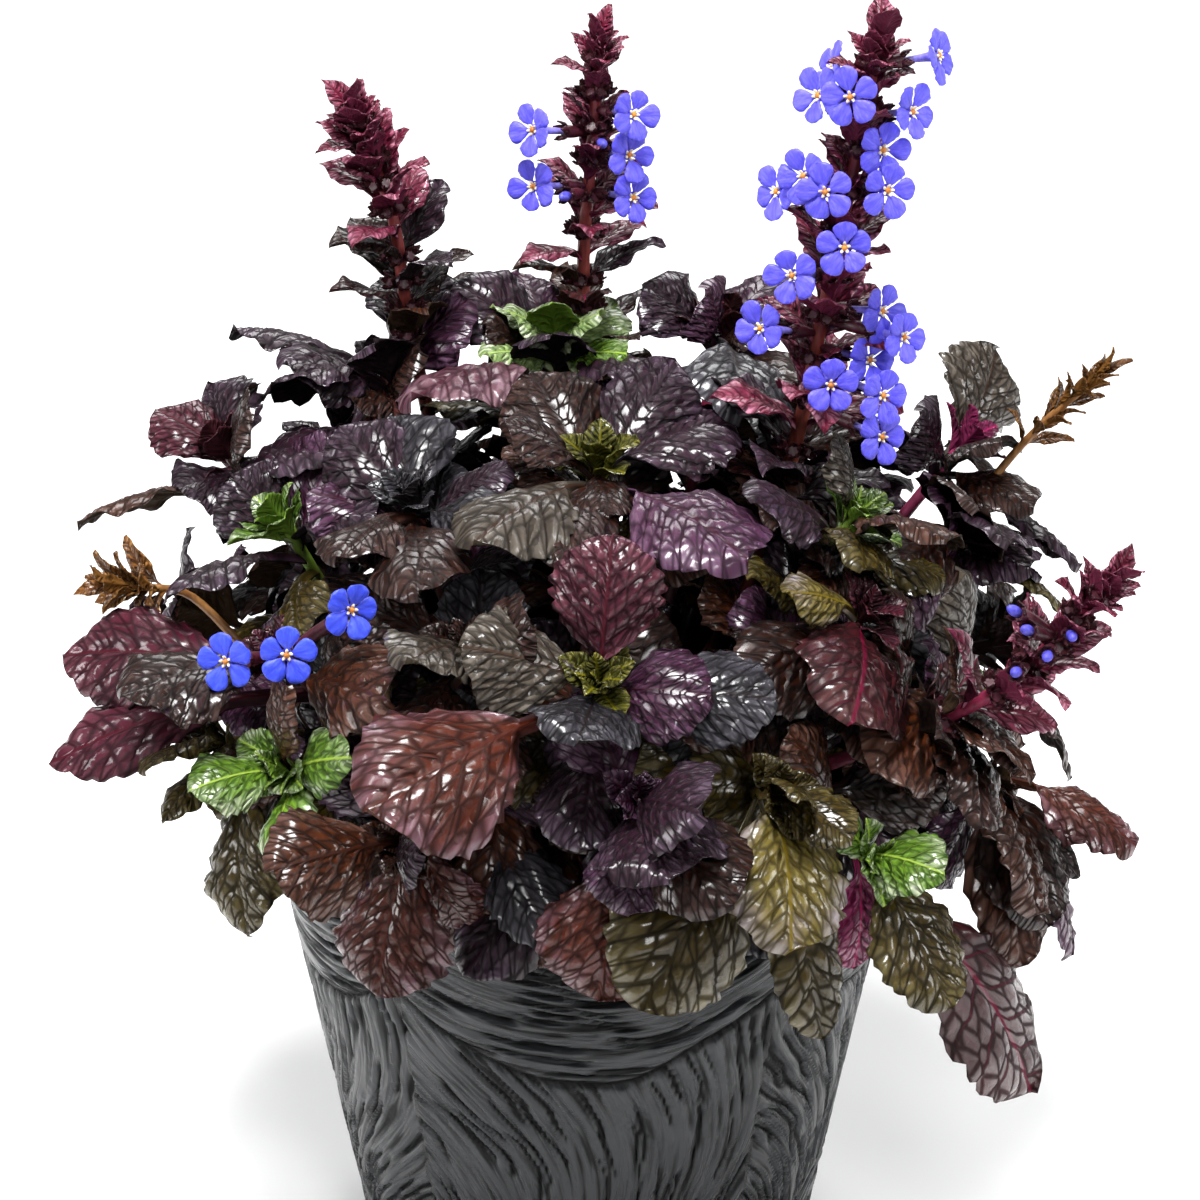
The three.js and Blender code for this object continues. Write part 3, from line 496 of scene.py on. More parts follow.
def stemFinish(name, roughness):
    look = stemLook
    finish, shader, wire = newFinish(name)
    place = placeOf(wire)
    streaks = (place * look["long"]).noise(look["streakScale"], 2.0)
    blotches = place.noise(look["blotchScale"], 2.0)
    tint = attributeOf(wire, "tint", "Color")
    dark = tint.blend(look["dark"], 1.0, "MULTIPLY")
    join(dark.blend(tint, (streaks * 0.6 + blotches * 0.7).rise(0.35, 0.85)), shader, "Base Color")
    join(streaks.rise(0.2, 0.8, roughness - look["smoother"], roughness + look["rougher"]), shader, "Roughness")
    join(bump(streaks, look["depth"]), shader, "Normal")
    return finish


finishes = dict(
    leaf=leafFinish(), petal=petalFinish(), stem=stemFinish("stem_skin", 0.45), bead=stemFinish("bud_skin", 0.5))
print("finishes mixed")


class Draw:
    # The same run of random numbers each time.
    def __init__(self, seed):
        self.seed = seed

    def next(self):
        low = 0xffffffff
        self.seed = (self.seed + 0x6d2b79f5) & low
        t = ((self.seed ^ (self.seed >> 15)) * (1 | self.seed)) & low
        t = ((t + (((t ^ (t >> 7)) * (61 | t)) & low)) & low) ^ t
        return (t ^ (t >> 14)) / 4294967296

    def spread(self, most):
        return (self.next() * 2 - 1) * most

    def two(self, most):
        return [self.spread(most), self.spread(most)]


def unit(vector):
    return np.array(vector, float) / np.linalg.norm(vector)


def turned(vector, axis, degrees):
    angle = math.radians(degrees)
    axis = unit(axis)
    return (vector * math.cos(angle) + np.cross(axis, vector) * math.sin(angle)
            + axis * np.dot(axis, vector) * (1 - math.cos(angle)))


class Path:
    # A smooth way through points, measured by its own length.
    def __init__(self, points):
        self.points = [np.array(p, float) for p in points]
        bends = [self.bend(i / 200) for i in range(201)]
        steps = [np.linalg.norm(b - a) for a, b in zip(bends, bends[1:])]
        self.table = np.concatenate([[0], np.cumsum(steps)])
        self.length = self.table[-1]

    def bend(self, t):
        points = self.points
        last = len(points) - 1
        i = min(int(last * t), last - 1)
        w = last * t - i
        b, c = points[i], points[i + 1]
        a = points[i - 1] if i > 0 else 2 * points[0] - points[1]
        d = points[i + 2] if i + 2 <= last else 2 * points[last] - points[last - 1]
        k0, k1, k2 = [np.dot(q - p, q - p) ** 0.25 for p, q in ((a, b), (b, c), (c, d))]
        s1 = ((b - a) / k0 - (c - a) / (k0 + k1) + (c - b) / k1) * k1
        s2 = ((c - b) / k1 - (d - b) / (k1 + k2) + (d - c) / k2) * k1
        return b + s1 * w + (-3 * b + 3 * c - 2 * s1 - s2) * w * w + (2 * b - 2 * c + s1 + s2) * w ** 3

    def at(self, share):
        return self.bend(np.interp(share * self.length, self.table, np.linspace(0, 1, 201)))

    def below(self, distance):
        return self.at(1 - distance / self.length)

    def wayAt(self, share):
        t = np.interp(share * self.length, self.table, np.linspace(0, 1, 201))
        return unit(self.bend(min(1, t + 0.0001)) - self.bend(max(0, t - 0.0001)))


# Where stems stand in the soil and pass the rim. Millimetres and degrees, as in the solid model.
growth = dict(
    soilTop=138, foot=127, upright=145, rimPass=76, passShare=0.8, passHeight=171, passRise=0.6, footShare=0.5,
    spikeFootShare=0.36, heart=110, across=108, deep=104, rise=84, middle=150, rootOut=0.9,
    windTurn=137.5)
footTurns = dict(shoot_back_1=-6, spike_middle=-6, spike_leaning=-6, dried_head_right=-18, dried_head_left=6)


def stemPath(name, route, footShare):
    crown = np.array(route[0], float)
    radius = math.hypot(crown[0], crown[1])
    outward = turned(np.array([crown[0], crown[1], 0]), (0, 0, 1), footTurns.get(name, 0))
    rimWay = unit(outward) * min(growth["rimPass"], growth["passShare"] * radius)
    lerped = growth["soilTop"] + (crown[2] - growth["soilTop"]) * growth["passRise"]
    rimWay[2] = max(growth["passHeight"], lerped)
    foot = outward * footShare
    return Path([(foot[0], foot[1], growth["foot"]), (foot[0], foot[1], growth["upright"]), rimWay, *route])


# How a leaf may lean aside where it would cross a neighbour: lift and turn in degrees, share of its length.
bends = [
    (0, 0, 1), (9, 0, 1), (-9, 0, 1), (0, 10, 1), (0, -10, 1), (16, 0, 1), (-16, 0, 1), (9, 12, 0.94), (9, -12, 0.94),
    (-9, 12, 0.94), (-9, -12, 0.94), (25, 0, 0.88), (-25, 0, 0.88), (14, 20, 0.85), (14, -20, 0.85), (-14, 20, 0.82),
    (-14, -20, 0.82), (32, 0, 0.76), (-32, 0, 0.76), (0, 28, 0.72), (0, -28, 0.72), (0, 0, 0.6)]
cadPoints = {name: np.array([v.co for v in node.data.vertices]) * 1000 for name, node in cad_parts.items()}


def leaning(name, root, tip, up, wide):
    # The tip and width that the leaf has in the solid model, or None where that has no such leaf.
    along = tip - root
    across = unit(np.cross(along, up))
    face = unit(np.cross(across, along))
    for lift, turn, share in bends:
        end = root + turned(turned(along, across, lift), face, turn) * share
        if np.min(np.sum((cadPoints[name] - end) ** 2, axis=1)) < 0.09 ** 2:
            return end, wide * math.sqrt(share)
    return None


def kindFor(length):
    # Longer leaves take finer blanks.
    return kinds["fine" if length > 30 else "middle" if length > 19 else "small" if length > 9 else "tiny"]


# Every shoot: where its young leaves stand, its pairs of them, and its large leaves (how far below the crown, tip,
# width, stalk's share of the length, tone).
shoots = {
    "burgundy_left": dict(crown=(-92, 35, 212), pairs=2, heart="burgundy", leaves=[
        (14, (-129, 18, 200), 24, .3, "bronze"), (5, (-112, 49, 212), 20, .15, "burgundy"),
        (8, (-98, 63, 219), 24, .15, "dusk"), (6, (-62, 3, 227), 24, .15, "dusk")]),
    "green_left": dict(crown=(-74, -4, 211), pairs=2, heart="fresh", leaves=[
        (4, (-50, -24, 224), 18, .25, "dusk"), (10, (-100, -35, 207), 22, .25, "dusk"),
        (14, (-68, -42, 200), 18, .3, "olive")]),
    "dark_left": dict(crown=(-72, -48, 199), pairs=1, heart="burgundy", leaves=[
        (6, (-107, -70, 200), 31, .25, "umber"), (8, (-124, -26, 182), 26, .3, "burgundy"),
        (16, (-126, -48, 162), 22, .3, "burgundy"), (10, (-44, -86, 208), 24, .25, "bronze")]),
    "olive_left": dict(crown=(-87, -52, 177), pairs=1, heart="olive", leaves=[
        (8, (-100, -67, 164), 13, .25, "olive"), (6, (-106, -68, 180), 20, .25, "olive"),
        (10, (-80, -76, 138), 27, .2, "olive")]),
    "green_low_left": dict(crown=(-70, -70, 180), pairs=2, heart="fresh", leaves=[
        (3, (-91, -82, 182), 18, .2, "fresh"), (2, (-64, -76, 208), 15, .2, "bronze"),
        (4, (-53, -89, 195), 17, .15, "fresh"), (8, (-73, -94, 176), 16, .2, "fresh")]),
    "front_left": dict(crown=(-42, -90, 172), pairs=1, heart="bronze", leaves=[
        (2, (-70, -113, 180), 26, .25, "bronze"), (8, (-48, -101, 138), 29, .2, "rust"),
        (8, (-29, -105, 142), 18, .2, "rust"), (0, (-46, -117, 178), 22, .2, "dusk")]),
    "front": dict(crown=(3, -76, 207), pairs=2, heart="moss", leaves=[
        (8, (-48, -117, 198), 37, .38, "rust"), (1, (6, -62, 238), 26, .15, "burgundy"),
        (3, (30, -101, 201), 28, .15, "plum"), (7, (-7, -112, 187), 29, .25, "slate"),
        (2, (-28, -84, 221), 25, .2, "silver"), (6, (40, -87, 214), 24, .3, "slate")]),
    "front_right": dict(crown=(12, -93, 186), pairs=1, heart="plum", leaves=[
        (9, (3, -112, 144), 33, .3, "rust"), (2, (37, -117, 188), 27, .15, "dusk"),
        (4, (12, -124, 178), 25, .25, "plum"), (9, (21, -122, 166), 33, .25, "dusk")]),
    "olive_right": dict(crown=(43, -85, 184), pairs=1, heart="olive", leaves=[
        (2, (46, -115, 160), 32, .1, "gold"), (8, (12, -112, 142), 34, .25, "olive"),
        (9, (55, -95, 122), 19, .3, "olive"), (0, (48, -104, 193), 13, .1, "olive"),
        (0, (60, -102, 181), 16, .1, "olive")]),
    "green_right_front": dict(crown=(66, -81, 162), pairs=1, heart="fresh", leaves=[
        (3, (82, -94, 167), 19, .1, "fresh"), (9, (74, -84, 106), 29, .25, "olive"),
        (7, (78, -84, 131), 22, .2, "magenta"), (9, (111, -56, 78), 30, .28, "wine"),
        (1, (65, -92, 179), 11, .1, "fresh")]),
    "green_right": dict(crown=(64, -13, 217), pairs=2, heart="fresh", leaves=[
        (1, (59, -12, 240), 19, .15, "silver"), (3, (85, -38, 224), 28, .15, "bronze"),
        (5, (62, -47, 216), 20, .2, "olive"), (6, (38, -42, 216), 18, .3, "bronze"),
        (9, (39, -42, 236), 21, .35, "dusk")]),
    "bronze_right": dict(crown=(65, -42, 206), pairs=1, heart="burgundy", leaves=[
        (3, (60, -86, 202), 32, .1, "wine"), (1, (46, -60, 222), 14, .3, "gold"),
        (4, (80, -71, 203), 24, .2, "umber")]),
    "pale": dict(crown=(-8, 50, 233), pairs=2, heart="pale", leaves=[
        (1, (-28, 55, 242), 18, .1, "pale"), (5, (21, 17, 240), 24, .2, "dusk"),
        (5, (-8, 10, 236), 24, .15, "dusk"), (6, (-43, 8, 239), 32, .2, "rose"),
        (5, (-18, 80, 243), 24, .15, "plum")]),
    "middle": dict(crown=(3, -17, 233), pairs=2, heart="moss", leaves=[
        (2, (36, 2, 236), 30, .15, "dusk"), (2, (1, -42, 232), 14, .15, "umber"),
        (6, (-26, -60, 234), 27, .25, "silver"), (7, (37, -62, 231), 33, .3, "plum"),
        (3, (-20, -20, 246), 20, .2, "umber")]),
    "burgundy_back": dict(crown=(34, 55, 237), pairs=2, heart="wine", leaves=[
        (2, (52, 78, 243), 25, .15, "plum"), (3, (38, 0, 238), 29, .3, "slate"),
        (2, (26, 84, 240), 20, .2, "umber")]),
    "dusk_left": dict(crown=(-52, 48, 229), pairs=1, heart="dusk", leaves=[
        (4, (-91, 49, 240), 23, .3, "dusk"), (5, (-79, 24, 236), 26, .25, "dusk"),
        (5, (-62, 16, 233), 20, .15, "rust"), (2, (-62, 38, 246), 24, .1, "dusk")]),
    "slate_left": dict(crown=(-41, -22, 226), pairs=1, heart="slate", leaves=[
        (3, (-47, 6, 236), 27, .1, "slate"), (4, (-58, -52, 226), 22, .3, "umber"),
        (4, (-22, -44, 238), 20, .2, "slate")]),
    "middle_left": dict(crown=(-27, -65, 210), pairs=1, heart="umber", leaves=[
        (2, (-36, -90, 219), 23, .1, "silver"), (5, (-57, -48, 214), 22, .3, "umber"),
        (6, (-42, -100, 205), 26, .3, "umber")]),
    "magenta_right": dict(crown=(95, 36, 213), pairs=1, heart="magenta", leaves=[
        (6, (106, 60, 230), 28, .2, "silver"), (5, (79, 66, 222), 24, .25, "dusk"),
        (4, (114, 56, 212), 20, .25, "umber"), (12, (125, 14, 190), 18, .35, "dusk")]),
    "dusk_right": dict(crown=(93, 20, 200), pairs=1, heart="dusk", leaves=[
        (4, (119, 10, 208), 18, .4, "dusk"), (6, (109, -8, 192), 18, .25, "dusk"),
        (7, (122, -2, 182), 16, .4, "olive")]),
    "silver_right": dict(crown=(88, -40, 185), pairs=1, heart="fresh", leaves=[
        (2, (88, -40, 217), 23, .2, "silver"), (3, (99, -74, 183), 22, .2, "umber"),
        (6, (86, -84, 178), 24, .3, "umber")]),
    "brown_right": dict(crown=(99, -35, 156), pairs=1, heart="bronze", leaves=[
        (3, (133, -52, 148), 27, .3, "rust"), (4, (107, -70, 140), 31, .2, "bronze"),
        (7, (124, -22, 96), 17, .4, "plum"), (5, (98, -72, 142), 26, .3, "plum")]),
}
# Every spike: its way above the soil, where its bracts start along that, their rows, their lengths, width and lean at
# the start and the tip, and how they crowd towards the tip.
spikes = {
    "spike_left": dict(
        route=[(-46, 52, 243), (-49, 50, 271), (-57, 47, 297)],
        start=0.42, rows=6, long=(21, 13), slim=0.48, lean=(66, 18), crowding=0.75),
    "spike_middle": dict(
        route=[(-1, 62, 247), (1, 60, 283), (3, 58, 312)],
        start=0.12, rows=7, long=(21, 11), slim=0.42, lean=(78, 16), crowding=0.9),
    "spike_right": dict(
        route=[(50, 4, 224), (59, 0, 280), (67, -2, 332)],
        start=0.1, rows=10, long=(25, 13), slim=0.46, lean=(72, 16), crowding=0.95),
    "spike_leaning": dict(
        route=[(73, -60, 183), (97, -66, 201), (117, -70, 228)],
        start=0.3, rows=6, long=(24, 12), slim=0.42, lean=(62, 16), crowding=0.8),
    "dried_head_right": dict(
        route=[(105, 26, 212), (115, 24, 226), (127, 21, 240)],
        start=0.25, rows=5, long=(12, 9), slim=0.3, lean=(52, 14), crowding=0.9),
    "dried_head_left": dict(
        route=[(-98, -12, 196), (-106, -18, 201), (-113, -22, 204)],
        start=0.4, rows=4, long=(15, 11), slim=0.34, lean=(64, 20), crowding=1),
}
# The middles of the open blooms and of the buds.
blooms = {
    "shoot_dark_left": [(-53, -69, 222), (-68, -74, 213), (-83, -68, 208)],
    "spike_right": [
        (53, -4, 322), (60, -14, 325), (76, -4, 318), (44, -3, 298), (50, -9, 304), (55, -14, 302), (69, -8, 310),
        (70, -13, 302), (60, -16, 289), (48, -11, 280), (41, -5, 264), (71, -4, 268), (76, -8, 263), (58, -16, 254),
        (68, -8, 257), (71, -13, 250), (71, -15, 240), (82, 1, 330), (56, 3, 326)],
    "spike_middle": [(-14, 52, 293), (12, 52, 297), (11, 53, 286), (-14, 52, 278), (12, 52, 275)],
}
buds = {
    "spike_leaning": [(96, -76, 226), (99, -78, 222), (110, -76, 219), (104, -80, 216), (97, -80, 212)],
    "spike_middle": [(4, 50, 290), (-6, 50, 276)],
}
# Small leaves of the scene alone: how far below the crown, tip, width, tone.
extraLeaves = {
    "dusk_right": [(3, (103, -14, 211), 22, "dusk"), (2, (77, -16, 202), 22, "umber"), (5, (96, -6, 216), 26, "umber"),
                   (8, (110, -2, 198), 26, "dusk"), (6, (88, 2, 214), 24, "plum")],
    "silver_right": [(4, (66, -84, 188), 26, "bronze")], "olive_left": [(2, (-99, -26, 178), 20, "umber")],
    "magenta_right": [(9, (112, 12, 208), 22, "umber"), (7, (104, 20, 222), 24, "umber"),
                      (9, (84, 30, 226), 26, "dusk")],
    "pale": [(1, (8, 66, 240), 20, "pale"), (5, (-34, 58, 250), 24, "dusk"), (7, (-26, 44, 244), 26, "umber"),
             (2, (-20, 38, 250), 14, "pale"), (2, (3, 36, 250), 14, "pale"), (1, (-9, 34, 254), 13, "fresh"),
             (4, (-26, 34, 240), 16, "pale"), (4, (10, 34, 240), 16, "fresh")],
    "front_right": [(5, (33, -118, 174), 24, "umber")], "bronze_right": [(5, (35, -76, 205), 24, "umber")],
    "middle": [(5, (-6, -58, 228), 20, "umber"), (6, (22, 12, 248), 24, "dusk"), (7, (-14, 10, 246), 26, "umber")],
    "dusk_left": [(3, (-27, 66, 248), 22, "umber"), (4, (-30, 50, 248), 26, "plum"), (6, (-36, 62, 250), 24, "dusk"),
                  (7, (-42, 36, 240), 26, "umber"), (6, (-76, 28, 240), 26, "dusk"), (9, (-66, 28, 232), 26, "umber")],
    "burgundy_back": [(5, (53, 16, 236), 24, "umber"), (4, (30, 50, 251), 24, "plum"), (5, (14, 58, 249), 24, "dusk"),
                      (6, (48, 42, 247), 24, "umber")],
    "slate_left": [(6, (-38, -67, 225), 24, "umber"), (7, (-60, 0, 236), 24, "dusk")],
    "burgundy_left": [(6, (-84, 20, 232), 26, "umber"), (9, (-104, 22, 208), 22, "dusk")],
    "green_left": [(8, (-62, 10, 230), 26, "plum"), (7, (-88, 6, 220), 24, "dusk")],
    "brown_right": [(6, (121, -44, 134), 9, "umber"), (7, (112, -60, 130), 26, "umber"),
                    (9, (106, -62, 120), 24, "bronze")],
    "middle_left": [(5, (-12, -80, 224), 20, "umber")],
}
# The pairs of young leaves in a crown, each longer and more open than the one above it.
heart = dict(first=12, growth=1.42, step=3.2, open=26, opening=22, slim=0.62, cup=0.25)
backHeart = dict(first=20, growth=1.42, step=4, open=32, opening=24, slim=0.64, cup=-0.1)
greenHearts = ("fresh", "moss", "pale", "olive")
draw = Draw(20)  # the solid model's own run
loose = Draw(77)  # for what only the scene adds
sprigs = {}
paths = {}

for i in range(7):  # the rosettes at the back, as the solid model has them
    bearing = math.radians(10 + 26.5 * i)
    lift = math.radians(42 if i % 2 else 10)
    level = math.cos(lift)
    crown = (growth["across"] * level * math.cos(bearing), growth["deep"] * level * math.sin(bearing),
             growth["middle"] + growth["rise"] * math.sin(lift))
    shoots[f"back_{i + 1}"] = dict(crown=crown, pairs=3, heart=("umber", "plum", "dusk", "bronze")[i % 4], leaves=[])

for name, shoot in shoots.items():
    paths["shoot_" + name] = stemPath("shoot_" + name, [shoot["crown"]], growth["footShare"])
for name, spike in spikes.items():
    paths[name] = stemPath(name, spike["route"], growth["spikeFootShare"])


def addStem(sprig, path, thick, tints, steps=40):
    sprig.stem([path.at(i / steps) for i in range(steps + 1)], thick, [colourOf(t) for t in tints])


# What a leaf is like where the code that places it says nothing else.
usualLeaf = dict(
    droop=-0.24, droopSpread=0.12, bend=(0.1, 0.06, 0.0), outline=(1.25, 0.62, 9), fullRelief=40, toothDepth=0.17,
    seeds=9, thick=0.8)


def addLeaf(sprig, root, tip, up, wide, stalk, tone, **values):
    rule = usualLeaf
    length = np.linalg.norm(np.array(tip) - root)
    usual = dict(
        kind=kindFor(length * (1 - 0.5 * stalk)), form=(wide, stalk, rule["droop"] + loose.spread(rule["droopSpread"])),
        bend=rule["bend"], outline=rule["outline"], thick=rule["thick"],
        skin=(min(1.0, length / rule["fullRelief"]), rule["toothDepth"], loose.next() * rule["seeds"]))
    usual.update(toneOf(tone, loose))
    usual.update(values)
    sprig.leaf(root, tip, up, **usual)


def addTuft(sprig, seats, axis, across, rule, tone):
    # The smallest leaves, wound close round a tip.
    for k, seat in enumerate(seats):
        out = turned(across, axis, growth["windTurn"] * k + rule["turn"])
        lean = math.radians(rule["lean"] + rule["leaning"] * k)
        long = rule["long"] + rule["longer"] * k
        root = seat + out * rule["out"]
        tip = root + (axis * math.cos(lean) + out * math.sin(lean)) * long
        wide = long * rule["slim"]
        addLeaf(sprig, root, tip, axis, wide, rule["stalk"], tone, form=(wide, rule["stalk"], rule["cup"]),
                skin=(*rule["skin"], k), thick=rule["thick"], **rule["more"])


def seatOn(path, centre):
    # The point of a stem from which a flower grows, a little lower than the flower.
    aim = np.array(centre, float) - (0, 0, 3)
    return min((path.at(k / 120) for k in range(121)), key=lambda p: np.linalg.norm(p - aim))


calyxMaking = dict(
    teeth=5, spread=12, foot=(0.7, 1.0), strengths=(0.45, 0.35), inside=0.6, below=1.2, splay=0.45, wide=2.0,
    stalk=0.05, outline=(0.9, 0.9, 2), relief=0.1)


def calyx(sprig, seat, end, long, half=1.7):
    # A small bell with teeth round the foot of a flower.
    rule = calyxMaking
    way = unit(end - seat)
    side = unit(np.cross(way, (0.3, 0.2, 1)))
    colours = [colourOf(tones["calyx"][0], strength) for strength in rule["strengths"]]
    sprig.stem([seat + (end - seat) * s for s in np.linspace(0, 1, 6)], (*rule["foot"], half, half), colours)
    for k in range(rule["teeth"]):
        out = turned(side, way, 360 / rule["teeth"] * k + loose.spread(rule["spread"]))
        root = end + out * (half * rule["inside"]) - way * rule["below"]
        tip = root + way * long + out * long * rule["splay"]
        addLeaf(sprig, root, tip, out, rule["wide"], rule["stalk"], "calyx", kind=kinds["tiny"],
                outline=rule["outline"], skin=(rule["relief"], 0, k))


# Five petals round a tube with a pale eye. All blooms turn a little towards the light.
bloomMaking = dict(
    light=(0, -0.85, 0.5), toLight=0.8, tubeShare=0.55, leastTube=4, mostTube=9, throat=1.3, mark=1.2, calyxTeeth=3.2,
    calyxOver=0.3, petals=5, turn=0.25, long=6.7, longSpread=0.6, tipSpread=0.8, rootOut=0.3, wide=5.7, wideSpread=0.4,
    stalk=0.12, cup=-0.08, outline=(1.6, 0.52, 1), relief=0.1, bend=(0.06, 0.03, 0), thick=0.35,
    ray="#f4ecc8", raySize=(1.0, 0.4, 0.4), eye="#d8862c", eyeSize=(0.7, 0.75, 0.75), tube="#8c84d8",
    tubeThick=(0.8, 0.9, 1.1, 1.5))


def bloomParts(centre, path):
    rule = bloomMaking
    seat = seatOn(path, centre)
    outward = centre - seat
    outward[2] = 0
    facing = unit(unit(outward) + rule["toLight"] * np.array(rule["light"]))
    length = min(rule["mostTube"], max(rule["leastTube"], rule["tubeShare"] * np.linalg.norm(centre - seat)))
    return seat, facing, unit(seat - centre), length


def addBloom(sprig, centre, facing, end, tone):
    rule = bloomMaking
    # The petals stand as in the solid model: the ring turned from straight up to the way that the bloom faces.
    turnAxis = np.cross((0, 0, 1), facing)
    turnBy = math.degrees(math.acos(max(-1, min(1, facing[2]))))
    throat = centre - facing * rule["throat"]
    for petal in range(rule["petals"]):
        angle = 2 * math.pi * (petal + rule["turn"]) / rule["petals"]
        out = turned(np.array((math.cos(angle), math.sin(angle), 0)), turnAxis, turnBy)
        tip = centre + out * (rule["long"] + loose.spread(rule["longSpread"]))
        tip = tip + facing * loose.spread(rule["tipSpread"])
        addLeaf(sprig, throat + out * rule["rootOut"], tip, facing, rule["wide"], rule["stalk"], tone,
                kind=kinds["small"], form=(rule["wide"] + loose.spread(rule["wideSpread"]), rule["stalk"], rule["cup"]),
                outline=rule["outline"], skin=(rule["relief"], 0, loose.next()), bend=rule["bend"], thick=rule["thick"])
        rayWay = unit(out + facing * 1.6)
        sprig.bead(throat + out * 0.9 + facing * 0.5, rayWay, rule["raySize"], colourOf(rule["ray"]))
    sprig.bead(throat + facing * 0.6, facing, rule["eyeSize"], colourOf(rule["eye"]))
    pipe = [end + (throat - end) * s for s in np.linspace(0, 1, 6)]
    sprig.stem(pipe, rule["tubeThick"], [colourOf(rule["tube"]), colourOf(tones[tone][0])])


# Each spike's stem: how thick it is and its tints, both from foot to tip, and its steps.
spikeStems = dict(
    dried=((1.3, 1.2, 1.0), ("#3a2614", "#7c5428", "#a0703c"), 40),
    leaning=((1.9, 1.8, 1.4), ("#2c1414", "#8c2044", "#9c3054"), 60),
    upright=((2.0, 1.9, 1.3), ("#2c1814", "#8a4030", "#8c3a40"), 60))
# Bracts stand in crossed pairs, with half rows between them and longer ones below the lowest row.
bractMaking = dict(
    spread=14, lowRows=(1, 2, 3, 4), lowTurn=60, lowSpread=20, lowStep=7.5, lowLong=1.2, lowLonger=0.1, lowWide=1.35,
    lowTones=("wine", "dusk", "umber", "bronze"), shorter=0.7, narrower=0.8, halfLean=0.85, halfLong=0.86,
    halfWide=0.95, wider=1.2, stalk=0.06, cup=0.1, outline=(0.95, 0.75, 5), skin=(0.5, 0.16), seeds=9,
    bend=(0.1, 0.08, 0.05), thick=0.6)
whorl = dict(count=6, turn=60, rowTurn=40, out=3.0, lessOut=1.2, up=2.0, teeth=2.6, half=1.3)
spikeTuft = dict(
    count=9, below=1.5, step=0.8, turn=0, lean=12, leaning=7, long=8, longer=0.6, out=0.5, slim=0.55, stalk=0.05,
    cup=0.2, skin=(0.4, 0.14), thick=0.5, more=dict(outline=(0.95, 0.8, 4), kind=kinds["small"]))
driedTuft = dict(spikeTuft, long=6, longer=0)
for name, spike in spikes.items():
    sprig = sprigs[name] = Sprig()
    path = paths[name]
    rule = bractMaking
    isDried = name.startswith("dried")
    tone = "straw" if isDried else "bract"
    addStem(sprig, path, *spikeStems["dried" if isDried else "leaning" if name == "spike_leaning" else "upright"])
    ways = [np.array(p, float) for p in spike["route"]]
    reach = sum(np.linalg.norm(b - a) for a, b in zip(ways, ways[1:]))
    start = draw.next() * 90
    rows = []
    for row in range(spike["rows"]):
        rows.append((row, start + 90 * row, draw.two(rule["spread"]), True))
        if row < spike["rows"] - 1:
            rows.append((row + 0.5, start + 90 * row + 45, loose.two(rule["spread"]), False))
    if not isDried:
        rows += [(-k, start + 90 * k + rule["lowTurn"], loose.two(rule["lowSpread"]), False) for k in rule["lowRows"]]
    for row, turn, spreads, isFound in rows:
        share = (max(0, row) / (spike["rows"] - 1)) ** spike["crowding"]
        down = reach * (1 - spike["start"]) * (1 - share) + rule["lowStep"] * max(0, -row)
        middle = path.below(down)
        axis = path.wayAt(1 - down / path.length)
        across = unit(np.cross(axis, (0, 1, 0)))
        length = spike["long"][0] + (spike["long"][1] - spike["long"][0]) * share
        lean = math.radians(spike["lean"][0] + (spike["lean"][1] - spike["lean"][0]) * share)
        for half, more in zip((0, 180), spreads):
            out = turned(across, axis, turn + half + more)
            way = axis * math.cos(lean) + out * math.sin(lean)
            root = middle + out * growth["rootOut"]
            wide = spike["slim"] * length
            if isFound:
                usual = (root + way * length * rule["shorter"], wide * rule["narrower"])
                tip, wide = leaning(name, root, root + way * length, axis, wide) or usual
            else:
                halfLean = lean * rule["halfLean"]
                tip = root + (axis * math.cos(halfLean) + out * math.sin(halfLean)) * length * rule["halfLong"]
                wide *= rule["halfWide"]
            if row < 0:
                tip = root + (tip - root) * (rule["lowLong"] + rule["lowLonger"] * loose.next())
                wide = wide * rule["lowWide"]
            own = tone if isDried or row >= 0 else rule["lowTones"][int(loose.next() * 4)]
            wide = wide * rule["wider"]
            addLeaf(sprig, root, tip, axis, wide, rule["stalk"], own, form=(wide, rule["stalk"], rule["cup"]),
                    outline=rule["outline"], skin=(*rule["skin"], loose.next() * rule["seeds"]), bend=rule["bend"],
                    thick=rule["thick"])
        if not isDried and not isFound:
            for k in range(whorl["count"]):
                out = turned(across, axis, whorl["turn"] * k + whorl["rowTurn"] * row)
                seat = middle + out * 1.0
                end = seat + out * (whorl["out"] - whorl["lessOut"] * share) + axis * (whorl["up"] + share)
                calyx(sprig, seat, end, whorl["teeth"], whorl["half"])
    axis = path.wayAt(1)
    seats = [path.at(1) - axis * (spikeTuft["below"] + spikeTuft["step"] * k) for k in range(spikeTuft["count"])]
    addTuft(sprig, seats, axis, unit(np.cross(axis, (0, 1, 0))), driedTuft if isDried else spikeTuft, tone)

ribTints = dict(fresh=("#2c2410", "#6c8c2c"), moss=("#20140c", "#5c5420"), pale=("#3c2c1c", "#8c9c54"),
                olive=("#201808", "#5c4c1c"), magenta=("#2c1018", "#9c2c5c"), wine=("#2c0c14", "#8c1c44"))
usualRibs = ("#1c100c", "#5c2c28")
crownTuft = dict(
    count=7, below=0.3, step=0.5, turn=30, lean=10, leaning=7, long=7, longer=1.3, out=0.8, slim=0.6, stalk=0.08,
    cup=0.3, skin=(0.3, 0.12), thick=0.5, more=dict(outline=(1.1, 0.7, 4)))
